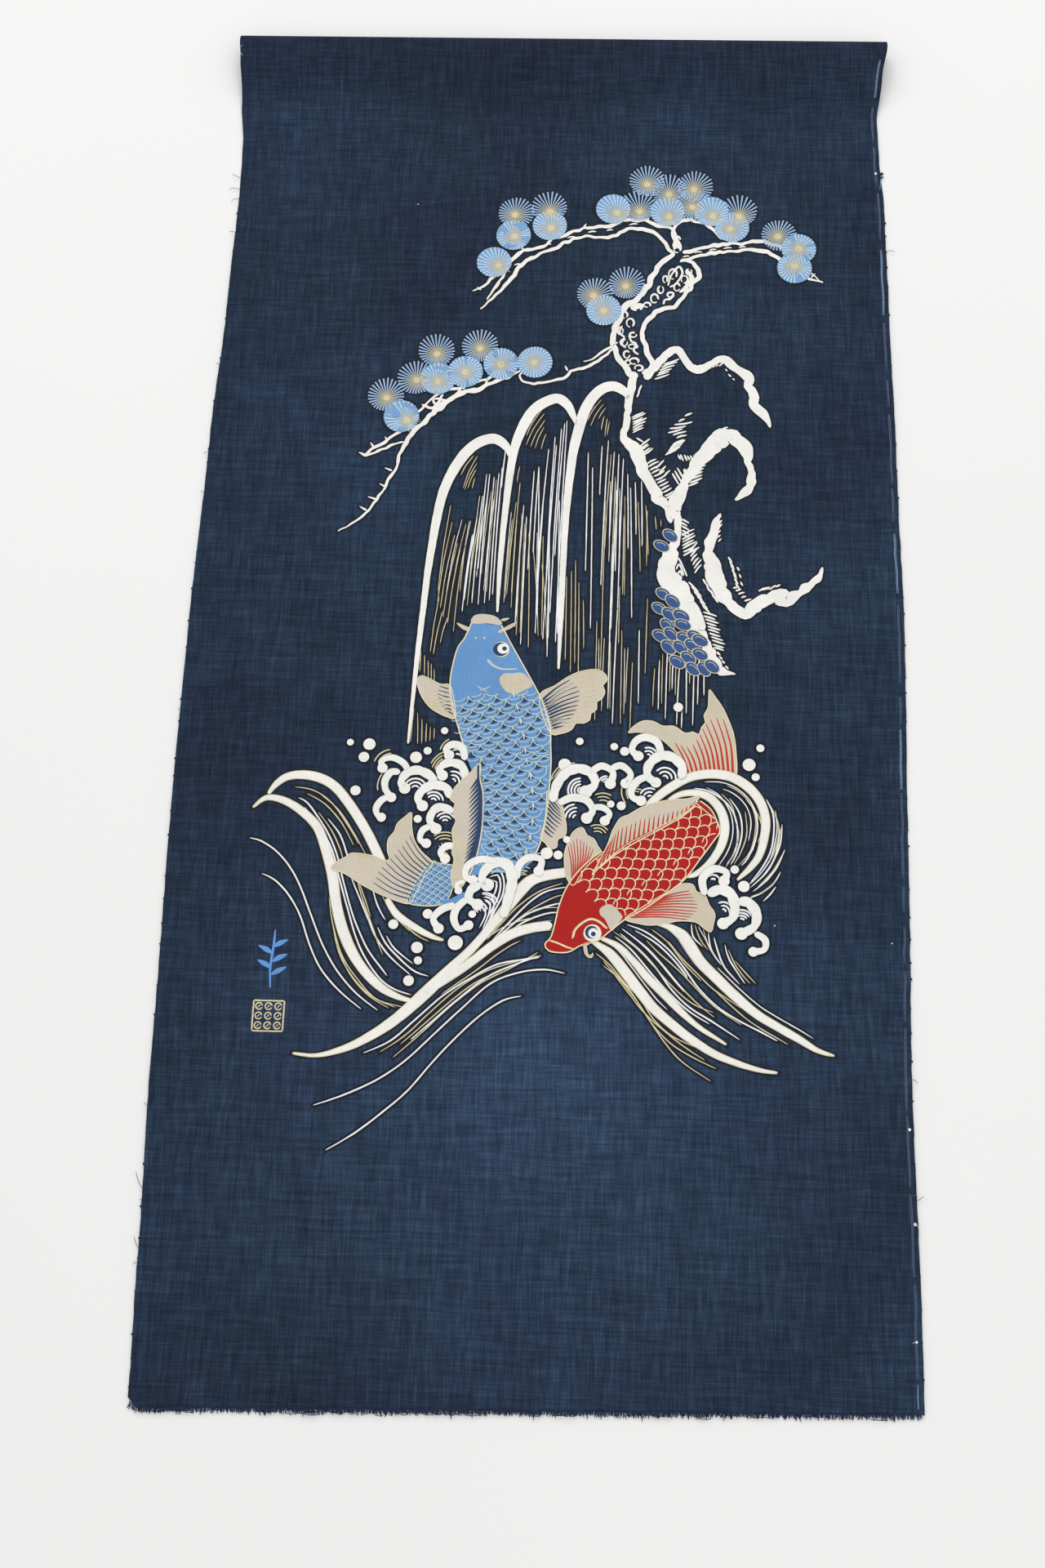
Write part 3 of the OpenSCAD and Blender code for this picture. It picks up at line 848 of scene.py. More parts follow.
GOLD_FALLS = [
    (-63.5, 105, -69, 44), (-62, 93, -69, 36), (-60, 84, -67, 32), (-58, 78, -65, 26),
    (-56, 74, -62, 22), (-54, 70, -58, 16), (-44, 100, -50, 34), (-34.5, 124, -38, 44),
    (-51, 94, -55, 44), (-19.5, 134, -21, 122), (-19, 122, -22, 44), (-21, 108, -25, 42),
    (-23, 96, -26, 40), (-17, 100, -18, 14), (-12, 86, -10, 6), (-9, 76, -4, 14), (-3, 64, 2, 4),
    (13, 56, 13.5, -2), (16, 60, 17, -10), (18.5, 68, 19.5, -4), (21, 52, 22, -14),
    (24, 40, 25, 6), (40, 144, 37, 76), (43, 128, 42, 60), (49, 100, 49, 44), (37, 110, 36, -8),
    (33, 26, 33, -42), (38, 14, 37, -36), (49, 20, 49, -44), (53, 8, 52, -30), (56, -2, 55, -50),
    (63, 108, 65, 72), (58, 110, 60, 60), (64, 104, 64, 64), (69, 100, 70, 90), (73, 98, 73, 92),
    (47, 50, 47, 10), (65, 42, 64, -10), (70, -6, 69, -32), (75, 4, 74.5, -30),
    (80, 10, 79.5, -22), (83.5, 0, 83, -24), (92, 2, 92, -16), (-68, 40, -72, 2),
    (-65.5, 30, -70, 0), (-62, 26, -66, 8), (-78, 3, -78, -12), (-75.5, 0, -75, -14),
    (-73, -4, -72.5, -17), (-71, -6, -70.5, -19), (-69, -9, -68.5, -19), (-80.5, -36, -81.5, -59),
    (-78, -39, -77, -60), (-75, -43, -74.5, -60), (-72, -46, -72, -59), (-69.5, -48, -69.5, -58),
    (-67, -49, -67, -57),
]
# Short slanting lines under the crowns
CROWN_LINES = [
    (-47.5, 141, -56, 117), (-47.5, 136, -55, 116), (-48, 131, -53, 117), (-48.5, 125, -50, 117),
    (-50, 141, -58, 126), (-6, 176, -16, 156), (-4.5, 173, -16, 149), (-4, 168, -13, 148),
    (-4.5, 163, -10, 147), (-3, 158, -6, 146), (-9, 174, -17, 160), (33, 184, 24, 168),
    (34.5, 181, 26, 164), (36, 178, 31, 169), (35, 172, 33, 161), (37, 170, 35.5, 156),
    (38.5, 168, 37, 157),
]

# Curtains of fine lines: (line at one side, line at the other side, how many)
CURTAINS = [
    ((-57, 96, -65, 34), (-48, 104, -55, 32), 3), ((-46, 112, -51, 34), (-34, 128, -38, 40), 5),
    ((-25, 104, -28, 34), (-13, 92, -13, 8), 4), ((-9, 96, -8, 10), (3, 90, 4, 8), 3),
    ((38, 136, 38, 52), (55, 116, 56, 38), 5), ((29, 16, 30, -34), (54, 22, 54, -46), 3),
]


def curtain(inks, first, last, count):
    """Fine falling lines, in turn white and gold, between a first and a last one."""
    for i in range(count):
        t = (i + 0.5 + random.uniform(-0.2, 0.2)) / count
        x0, y0, x1, y1 = (u + (v - u) * t for u, v in zip(first, last))
        drop = (y0 - y1) * 0.22
        y0 -= drop * random.random()
        y1 += drop * random.random()
        fall_line(inks[i % 2], (x0, y0, x1, y1), CURTAIN_W)


def fall_line(prints, line, width):
    """One falling line, widest at its middle."""
    x0, y0, x1, y1 = line
    # A falling line leans most near its top, then hangs straight
    xm = x0 + (x1 - x0) * 0.62
    ym = (y0 + y1) / 2
    draw(prints, [(x0, y0, width * 0.7), (xm, ym, width), (x1, y1, width * 0.7)],
         grow=3.0, rough=0.12, step=2.5)


def add_waterfall():
    arches = Print("print_arches", 3, WHITE)
    white = Print("print_fall_white", 2, COOL_WHITE)
    gold = Print("print_fall_gold", 2, GOLD)
    for arch in ARCHES:
        draw(arches, [(x, y, w * ARCH_SLIM) for x, y, w in arch], rough=0.15)
    for line in WHITE_FALLS:
        fall_line(white, line, WHITE_FALL_W)
    for line in GOLD_FALLS + CROWN_LINES:
        fall_line(gold, line, GOLD_FALL_W)
    for row in CURTAINS:
        curtain((white, gold), *row)
    arches.finish("waterfall_arches", slot="white_print")
    white.finish("waterfall_white_lines", slot="white_print")
    gold.finish("waterfall_gold_lines", slot="gold_print")


add_waterfall()


# ---- rock ----

ROCK_LINES = [
    [(61, 200, 5), (66, 206, 5), (71, 213, 5), (76.5, 219.5, 5), (82.5, 222, 5), (87, 216, 4.5),
     (92, 209, 5), (98, 207.5, 6), (104, 211, 4), (111.5, 215.5, 5), (118, 212, 6),
     (123, 207, 5), (129, 203, 7), (130, 196, 5), (133, 189, 6), (133.5, 181, 6),
     (139, 175.5, 6), (142.5, 169, 3), (144, 165, 1)],
    [(54, 203, 5), (52.5, 193, 5), (50.5, 182, 4.5), (50, 170, 4), (48, 158, 4), (50, 153, 6),
     (56, 147, 8.5), (58, 140, 8), (61, 132, 7), (66, 122, 6), (71, 113, 7), (76, 107, 5),
     (78, 101, 4), (79, 95, 2)],
    [(79.5, 97, 3), (82, 109, 9), (87, 121, 6), (92, 131, 6), (98, 140, 8.5), (104, 148, 10.5),
     (110, 155, 12), (116, 159, 9), (122, 156, 8), (127, 149, 8), (129.5, 140, 4),
     (131, 131, 5), (130, 123, 5), (126, 117, 5), (121, 112, 1.5)],
    [(84, 104, 4), (84, 92, 4), (82.5, 83, 5), (80, 75, 8), (77.5, 66, 9.5), (78, 57, 12.5),
     (82, 50, 14), (88, 44, 10), (93, 32, 9), (97.5, 20, 8), (101.5, 11, 6), (105, 2.5, 6),
     (109, -3.5, 6), (113, -7.5, 5), (121, -9, 1)],
    [(111.5, 102.5, 1.5), (109, 97, 4), (107.5, 90, 5), (104.5, 82, 6), (104, 73, 6),
     (106.5, 65, 9.5), (108.5, 57, 11), (111, 48, 10), (116, 40, 7), (121, 36, 6),
     (126, 32.5, 6), (131.5, 36, 7), (138.5, 42, 8), (146.5, 45, 9), (152.5, 43, 9),
     (156.5, 45, 6), (163, 48, 5), (169, 53, 5), (173.5, 58, 4), (176.5, 66, 1)],
]

# Hatching: first and last start of a row of strokes, how many, and how each runs
ROCK_HATCHES = [
    ((67.5, 200), (73.5, 211), 6, (10, 4)), ((56, 186), (57.5, 191), 3, (2, 5)),
    ((53, 171), (54, 160), 7, (9, 5)), ((56, 156.5), (58, 151), 2, (5, -3)),
    ((59, 150), (61, 143.5), 5, (6, 5)), ((83.5, 168.5), (87.5, 172.5), 2, (5, 2.5)),
    ((77, 160), (82.5, 156.5), 3, (9, 3)), ((78, 163.5), (81, 166), 2, (11, 2)),
    ((80, 151.5), (75, 143.5), 6, (9, 5)), ((83.5, 144.5), (93.5, 144), 6, (2, -5)),
    ((80, 131), (83, 135), 3, (5, -9)), ((87, 134), (90, 135), 3, (1.5, -5)),
    ((95, 136.5), (90, 121.5), 7, (8, 3.5)), ((94, 144), (112, 163), 13, (5, 2.2)),
    ((86, 98), (86, 88), 5, (5, -3)), ((86.5, 86), (87.5, 72), 7, (10, 6)),
    ((91, 74), (95, 60), 6, (5, 7)), ((91, 54), (100, 38), 6, (6, -6.5)),
    ((100, 56), (107, 44), 6, (2.5, -4.5)), ((100, 33), (107, 9), 11, (9, -2.8)),
    ((109, 6), (114, -3), 4, (2.5, -2.5)), ((116, 72), (121, 54), 7, (3, -5)),
    ((119, 50), (128, 39), 6, (4.5, 1.5)), ((135, 48), (146, 51), 6, (4, 2.5)),
    ((110, 98), (109.5, 82), 6, (2.5, 3)), ((104, 208), (112, 211), 5, (2.2, 2.4)),
    ((114, 208), (119, 201), 3, (2, -2)), ((122, 65), (124, 55), 3, (1.5, -3)),
]
ROCK_CREAM_HATCHES = [((63, 137), (76, 112), 12, (7.5, 4.5)), ((69, 134), (74, 128), 3, (5, 6))]

STONES = [(75, 45), (81, 40), (72.5, 35), (79, 31), (86.5, 30), (77.5, 23.5), (87.5, 24),
          (73.5, 16), (80, 17.5), (88.5, 15), (95, 16.5), (78.5, 8.5), (86, 8.5), (93.5, 10),
          (98.5, 13.5), (84, -1.5), (91, 1.5), (98.5, 4), (94, -6), (101, -6), (106, -4),
          (79, 86), (73.5, 78.5)]


def hatch(prints, first, last, count, run):
    """A row of short parallel strokes, each a little different."""
    for i in range(count):
        t = i / max(count - 1, 1)
        x = first[0] + (last[0] - first[0]) * t + random.uniform(-0.3, 0.3)
        y = first[1] + (last[1] - first[1]) * t + random.uniform(-0.3, 0.3)
        size = random.uniform(0.75, 1.1)
        bend = random.uniform(-0.4, 0.4)
        line = [(x, y, 0.9), (x + run[0] * size / 2 + bend, y + run[1] * size / 2 - bend, 1.3),
                (x + run[0] * size, y + run[1] * size, 0.7)]
        draw(prints, line, grow=2.2, rough=0.15)


def ragged(line, seed, thin=1.0, breaks=0.26, swell=0.46):
    """A brush line whose edges break into small corners, as carved ones do."""
    result = []
    for i, (x, y, width) in enumerate(spline(line, 3.2)):
        sway = min(width * breaks, 1.8)
        result.append((x + sway * wander(i * 5, seed, 7, 1), y + sway * wander(i * 5, seed, 7, 9),
                       max(width * thin * (1.08 + swell * wander(i * 7, seed, 7, 5)), 0.9)))
    return result


def add_rock():
    outline = Print("print_rock", 3, WHITE)
    hatching = Print("print_rock_hatching", 2, WHITE)
    cream = Print("print_rock_cream_lines", 2, WHITE)
    for seed, line in enumerate(ROCK_LINES):
        draw(outline, ragged(line, seed), rough=0.25, step=1.6)
    for row in ROCK_HATCHES:
        hatch(hatching, *row)
    for row in ROCK_CREAM_HATCHES:
        hatch(cream, *row)
    for line in ([(82, 66, 1), (84.5, 70, 1.2), (90, 57.5, 1)], [(83, 62, 1), (85, 66, 1.2),
                 (88, 58, 1)], [(84, 58.5, 1), (85.5, 61.5, 1.2), (87, 57.5, 1)]):
        draw(hatching, line, grow=2.2)
    outline.finish("rock_outline", slot="white_print")
    hatching.finish("rock_hatching", slot="white_print")
    cream.finish(slot="white_print")


def oval(x, y, long_r, short_r, turn):
    """Places round an ellipse whose long side is turned from the x direction."""
    edge = []
    for k in range(28):
        a = math.tau * k / 28
        px = long_r * math.cos(a)
        py = short_r * math.sin(a)
        edge.append((x + px * math.cos(turn) - py * math.sin(turn),
                     y + px * math.sin(turn) + py * math.cos(turn)))
    return edge


def add_stones():
    """Round stones with a fine rim and a small mark, each lying over the last."""
    rims = Print("print_stone_rims", 4, GOLD)
    stones = Print("print_stones", 4, DEEP_BLUE)
    marks = Print("print_stone_marks", 7, PALE_GOLD)
    for i, (x, y) in enumerate(STONES):
        radius = 4.1 + 0.4 * wander(x, y, 4)
        turn = math.radians(-38 + 26 * wander(x, y, 9, 3.3))
        for prints, size in ((rims, radius + 0.5), (stones, radius)):
            prints.level = 4 + i * 0.12 + (0.06 if prints is stones else 0)
            prints.star((x, y), oval(x, y, size * 1.28, size * 0.84, turn), 2)
        marks.level = stones.level + 0.05
        inner = oval(x, y, radius * 0.86, radius * 0.5, turn)
        marks.stroke([(px, py, 0.35) for px, py in inner[3:16:3]], rough=0.04, step=1.5)
        GROUND.disc(x, y, radius + 1.8)
    rims.finish("moss_outlines", slot="gold_print")
    stones.finish("moss_stones", slot="deep_blue_print")
    marks.finish(slot="gold_print")


add_rock()
add_stones()


# ---- pine ----

# Fans of needles: (centre of the rays, middle of the fan)
OPEN_FANS = [((61, 351), (61, 354)), ((93, 347.5), (94, 350)), ((76, 343), (76, 347)),
             ((56, 329), (55, 334)), ((-29, 325), (-28, 327)), ((-5, 328), (-6, 332)),
             ((92, 333), (93, 335)), ((124, 326), (124, 331)), ((150, 310.5), (151, 311.5)),
             ((47.5, 270), (48, 273)), ((26, 262.5), (27, 264)), ((-77.5, 216), (-78, 219)),
             ((-49, 220.5), (-49, 223)), ((-90, 196), (-91, 198)), ((-109.5, 182.5), (-110, 185))]
FULL_FANS = [((41, 327.5), (38, 331)), ((76, 325), (75, 329.5)), ((117.5, 316), (119, 317.5)),
             ((106, 326), (105, 330)), ((161, 287.5), (161, 286)), ((164, 301), (164, 301)),
             ((-29, 308), (-29.5, 309)), ((-4, 315), (-5, 317)), ((-39, 284.5), (-42, 287.5)),
             ((33, 251), (33, 251.5)), ((-12.5, 211), (-12, 211)), ((-76, 195), (-76, 197.5)),
             ((-58, 202.5), (-58, 203)), ((-34.5, 209), (-34.5, 209.5)), ((-95, 166), (-99, 169))]
FAN_R = 12.5
FULL_R = 11.8
FAN_RAYS = 30
TRUNK = [
    [(55, 200, 6), (46, 212, 4.5), (41, 222, 4.5), (40, 232, 4.5), (43, 245, 5), (48, 255, 5.5),
     (57, 262, 4.5), (63, 272, 5), (67, 282, 4.5), (73, 290, 4), (80, 297, 3)],
    [(60, 203, 3.5), (66, 210, 4), (62, 222, 4), (59, 235, 3.5), (63, 245, 4), (71, 252, 4),
     (80, 255, 3.5), (86, 262, 3), (92, 272, 3.5), (97, 281, 4), (92, 289, 3), (86, 292, 2.5)],
]
BRANCHES = [
    [(80, 294, 3), (74, 303, 3), (68, 311, 3), (58, 315, 3.4), (48, 315, 2.6), (38, 309, 3),
     (28, 308, 2), (20, 309, 2), (8, 305, 2.6), (0, 300, 3), (-10, 295, 2.4), (-22, 287, 3.4),
     (-30, 275, 3.2), (-38, 264, 2.4), (-50, 251, 1)],
    [(84, 300, 4), (80, 310, 3), (78, 316, 2.6), (68, 318, 3.2), (60, 322, 2.8), (45, 322, 2.6),
     (38, 318, 3), (25, 316, 2.6), (18, 315, 2.2), (5, 310, 3), (-3, 306, 2.4), (-10, 300, 3),
     (-22, 297, 2.6), (-28, 292, 3), (-36, 283, 2.6), (-42, 276, 2.2), (-50, 268, 1.8),
     (-56, 265, 1)],
    [(-30, 290, 2.2), (-36, 276, 2), (-42, 266, 1.8), (-46, 258, 1)],
    [(86, 297, 3), (100, 301, 2.8), (115, 304, 3), (128, 305, 2.2), (136, 307, 3),
     (150, 303, 2.4), (158, 297, 2.6), (165, 290, 2), (178, 276, 1)],
    [(84, 290, 3), (95, 294, 2.6), (107, 297, 3), (116, 298, 2.2), (130, 300, 2.6),
     (140, 299, 3.4), (148, 295, 2.6), (155, 288, 3), (165, 281, 3), (180, 275, 1)],
    [(81, 300, 3), (79, 313, 2.6), (82, 320, 2.6), (88, 323, 3), (96, 321, 2.4), (103, 319, 2.8),
     (108, 313, 2.4), (112, 309, 2), (118, 307, 1)],
    [(43, 227, 1.5), (33, 220, 2), (26, 214, 1.2), (20, 212, 0.8)],
    [(40, 222, 1.5), (30, 213, 2.2), (20, 207, 2.6), (12, 205, 2), (9, 200, 2.6), (0, 197.5, 2),
     (-12, 195, 2), (-20, 197, 1.8), (-22, 201, 1.6), (-18, 205, 1.2)],
    [(-18, 206, 1.4), (-30, 200, 3), (-42, 194, 3.4), (-50, 190, 4), (-62, 186, 4),
     (-72, 178, 5), (-80, 170, 4), (-88, 160, 3.4), (-95, 150, 3), (-99, 140, 2.4),
     (-101, 130, 2), (-105, 122, 2.2), (-108, 115, 1.8), (-112, 108, 1.8), (-117, 100, 1.6),
     (-125, 92, 1.4), (-136, 85, 0.9)],
    [(-32, 202, 1.4), (-44, 198, 2), (-58, 192, 2.4), (-68, 190, 2), (-76, 186, 2.2),
     (-88, 172, 1.6), (-96, 160, 2.2), (-104, 154, 1.8), (-112, 148, 2.4), (-122, 141, 2),
     (-126, 142, 1.2)],
    [(-96, 150, 1.6), (-108, 146, 2), (-115, 142, 2.2), (-122, 139.5, 1.6), (-125, 142, 1)],
    [(-60, 191, 1.6), (-66, 182, 2.2), (-78, 182, 1.8), (-73, 174, 2)],
    [(-72, 186, 1.6), (-78, 176, 2.4), (-86, 178, 1.4)],
]
THORNS = [(-107, 150, -2, 4), (-116, 146, -2.5, 3.5), (-103, 129, -5, 2), (-106, 117, -5, 2.5),
          (-112, 108, -6, 2), (-118, 100, -5, 3), (10, 205, -2, 4), (31, 213, -4, -2),
          (-50, 266, -3, 2), (-22, 297, -2, 3), (18, 316, 2, 3), (60, 322, 3, 2), (-44, 194, 1, 5),
          (-58, 190, -3, 4), (168, 282, 3, 4), (172, 279, 3, 3)]
BARK = [(44.5, 236, 1.6, 2.6), (51, 242, 2.2, 3), (47, 248, 1.8, 2.2), (53, 233, 2, 1.6),
        (47, 227, 2, 2.2), (53, 224, 2.6, 1.6), (49, 218, 1.8, 2.4), (54, 213, 2.6, 2),
        (57, 208, 2.4, 1.8), (50, 212, 1.6, 1.6), (55, 254, 3.4, 2.2), (62, 256, 2, 1.6),
        (67, 261, 2.2, 3), (71, 268, 1.6, 2.6), (78, 264, 2.2, 1.6), (82, 270, 1.8, 2.6),
        (87, 276, 2, 2.6), (79, 280, 2.4, 3.4), (90, 282, 1.6, 2), (74, 276, 1.4, 2.4),
        (82, 300, 2, 2.8), (82, 307, 1.8, 2.4)]
BARK_MARKS = [
    [(76, 271, 1), (78, 279, 1.3), (83, 286, 1.5), (85.5, 281, 1.4), (81.5, 273, 1.3), (77, 270, 1)],
    [(89, 283, 2), (92, 277, 3.4), (89.5, 273.5, 2), (87.5, 269, 3), (83.5, 266, 1.5)],
    [(52, 252, 2), (55.5, 255, 4.6), (60, 255, 2.6)],
    [(45.5, 240, 1), (44, 234, 1.5), (47, 231, 1.3), (45.5, 226, 1.5), (48.5, 223, 1)],
    [(50, 233, 1), (52, 228, 1.4), (55, 226.5, 1.2), (53.5, 221, 1.4), (57, 218, 1)],
    [(80, 265, 1), (77.5, 261, 2), (74, 260, 1.2), (73, 256.5, 1.6)],
]
DASHES = [(10, 308, 3), (24, 312.5, 3), (36, 314, 2.4), (52, 319, 3), (-6, 302, 2.6),
          (96, 297.5, 3), (106, 299.5, 2.6), (116, 301, 3), (126, 302, 2.6), (88, 294, 2.4),
          (-16, 292, 3), (-26, 286, 2.4)]


def fan_edge(centre, middle_place, radius, angle):
    """Where a ray at an angle from the centre meets the fan's round edge."""
    dx = math.cos(angle)
    dy = math.sin(angle)
    ox = centre[0] - middle_place[0]
    oy = centre[1] - middle_place[1]
    along = ox * dx + oy * dy
    return -along + math.sqrt(max(along ** 2 - ox ** 2 - oy ** 2 + radius ** 2, 1.0))


def fan_rays(prints, gold, centre, middle_place, radius, width, turn):
    """Rays out to the fan's edge, with short gold ones over their roots."""
    x, y = centre
    for i in range(FAN_RAYS):
        angle = math.tau * (i + turn) / FAN_RAYS
        reach = fan_edge(centre, middle_place, radius, angle) * random.uniform(0.95, 1.0)
        dx = math.cos(angle)
        dy = math.sin(angle)
        prints.stroke([(x + dx * 3, y + dy * 3, width * 0.45),
                       (x + dx * reach * 0.6, y + dy * reach * 0.6, width * 0.8),
                       (x + dx * reach, y + dy * reach, width)], rough=0.03, step=4, blunt=True)
        short = random.uniform(5, 9.5)
        gold.stroke([(x + dx * 0.2, y + dy * 0.2, 0.36),
                     (x + dx * short, y + dy * short, 0.36)], rough=0.03, step=4, blunt=True)


def add_fans():
    """Open fans of needles, and full fans whose discs overlap in turn."""
    needles = Print("print_open_needles", 6, FAN_NEEDLE)
    discs = Print("print_full_fans", 7, FAN_BLUE)
    rays = Print("print_fan_rays", 8, FAN_RAY)
    gold = Print("print_fan_centres", 9.5, GOLD)
    for centre, middle_place in OPEN_FANS:
        GROUND.disc(*middle_place, FAN_R + 0.8)
        fan_rays(needles, gold, centre, middle_place, FAN_R, 1.15, random.random())
    for centre, middle_place in OPEN_FANS + FULL_FANS:
        gold.disc(*centre, 1.1, sides=10)
    for order, (centre, middle_place) in enumerate(FULL_FANS):
        discs.level = 7 + order * 0.06
        edge = []
        for i in range(FAN_RAYS * 3):
            angle = math.tau * i / (FAN_RAYS * 3)
            bulge = 0.35 * abs(math.sin(math.pi * i / 3))
            reach = FULL_R - 0.3 + bulge
            edge.append((middle_place[0] + reach * math.cos(angle),
                         middle_place[1] + reach * math.sin(angle)))
        discs.star(middle_place, edge, 3)
        GROUND.disc(*middle_place, FAN_R + 1.2)
        rays.level = discs.level + 0.03
        fan_rays(rays, gold, centre, middle_place, FULL_R, 0.85, 0.5)
    needles.finish(slot="pale_blue_print")
    discs.finish("pine_fans", slot="pale_blue_print")
    rays.finish(slot="pale_blue_print")
    gold.finish("pine_centres", slot="gold_print")


def add_branches():
    """Carved-looking trunk and branches, with thorns, bark and dashes."""
    branches = Print("print_branches", 4, WHITE)
    bark = Print("print_bark", 3, WHITE)
    for seed, line in enumerate(TRUNK + BRANCHES):
        draw(branches, ragged(line, seed + 20, 0.8, 0.5, 0.6), rough=0.25, step=1.3)
    for x, y, dx, dy in THORNS:
        draw(branches, [(x, y, 1.8), (x + dx, y + dy, 0.6)], rough=0.1)
    for x, y, rx, ry in BARK:
        start = 3 * wander(x, y, 5, 2.8)
        loop = [(x + 1.15 * rx * math.cos(start + a * 0.95), y + 1.15 * ry * math.sin(start + a * 0.95),
                 1.2 + 0.35 * math.sin(a)) for a in (0, 1, 2, 3, 4, 5, 6)]
        draw(bark, loop, grow=2.0, rough=0.2, step=1)
    for line in BARK_MARKS:
        draw(bark, line, grow=2.0, rough=0.25, step=1)
    for x, y, size in DASHES:
        draw(bark, [(x - size, y - 0.6, 0.7), (x, y + 0.4, 1.1), (x + size, y + 0.2, 0.7)],
             grow=2.0)
    branches.finish("pine_branches", slot="white_print")
    bark.finish(slot="white_print")


add_fans()
add_branches()


# ---- waves ----

WAVE_BANDS = [
    [(-177, -104, 1), (-169, -97.5, 3.5), (-158, -99, 5), (-146, -106, 6), (-136, -116, 6.5),
     (-130, -130, 7), (-125, -146, 7.5), (-121, -166, 7.5), (-115, -184, 8), (-106, -200, 7),
     (-94, -213, 6), (-82, -220, 4), (-71, -223, 1.5)],
    [(-168, -95, 1.5), (-164, -89, 4), (-157, -83.5, 5.5), (-147, -82, 6.5), (-136, -84, 7),
     (-126, -90, 7), (-116, -102, 7), (-106, -117, 7), (-98, -132, 7), (-93, -142, 6)],
    [(-91, -160, 3.5), (-84, -170, 5), (-72, -178, 4.5), (-62, -183, 3), (-55, -185, 1)],
    [(-142, -256, 1), (-128, -257, 2), (-114, -253.5, 4), (-102, -248, 5.5), (-88, -239, 7),
     (-76, -229, 8), (-62, -215, 9), (-50, -202, 6.5), (-40, -192, 6), (-30, -180, 6),
     (-18, -164, 8), (-10, -153, 9), (-1, -145, 8), (16, -141, 7), (22, -141, 6)],
    [(-66, -219, 3), (-50, -207, 6), (-38, -198, 6), (-26, -188, 6.5), (-14, -180, 7),
     (-2, -176, 7), (10, -174, 7)],
    [(34, -183, 2), (45, -190.5, 6.5), (53.5, -200.5, 7.5), (62, -211.5, 7.5), (71.5, -223, 7),
     (82.5, -232.5, 6.5), (93.5, -241, 6), (107.5, -249.5, 5), (121.5, -255, 4),
     (134, -258.5, 2.5), (145, -260, 1)],
    [(39, -181, 2), (50, -186, 4), (59, -194.5, 4.5), (68.5, -205.5, 5.5), (78, -214.5, 6),
     (87, -224, 4.5), (98, -233.5, 3), (107.5, -239.5, 2), (115, -244, 0.9)],
    [(72, -171, 2), (80, -173, 4), (88, -178, 8), (93, -185, 9), (99.5, -194.5, 8),
     (109, -204, 7.5), (120, -214.5, 7), (132.5, -225, 6), (145, -232.5, 5.5),
     (157.5, -239.5, 5), (168.5, -246, 3), (178.5, -249, 1)],
    [(66, -98, 5), (74.5, -89.5, 6), (82.5, -83.5, 6.5), (92, -78, 6.5), (103, -75.5, 6.8),
     (114, -76, 7), (123, -79.5, 7), (131, -86, 7), (136.5, -94.5, 6.5), (139, -105, 6.5),
     (138, -116, 6), (135, -127, 5), (129.5, -135, 4), (121.5, -143, 1)],
    [(79, -93.5, 2), (87, -89, 4), (96.5, -88, 5), (105, -91, 6), (111.5, -99, 6.5),
     (114, -108.5, 6.5), (113, -118, 6), (109, -127, 5.5), (103, -135, 5),
     (95, -140.5, 3), (89, -141.5, 1)],
]

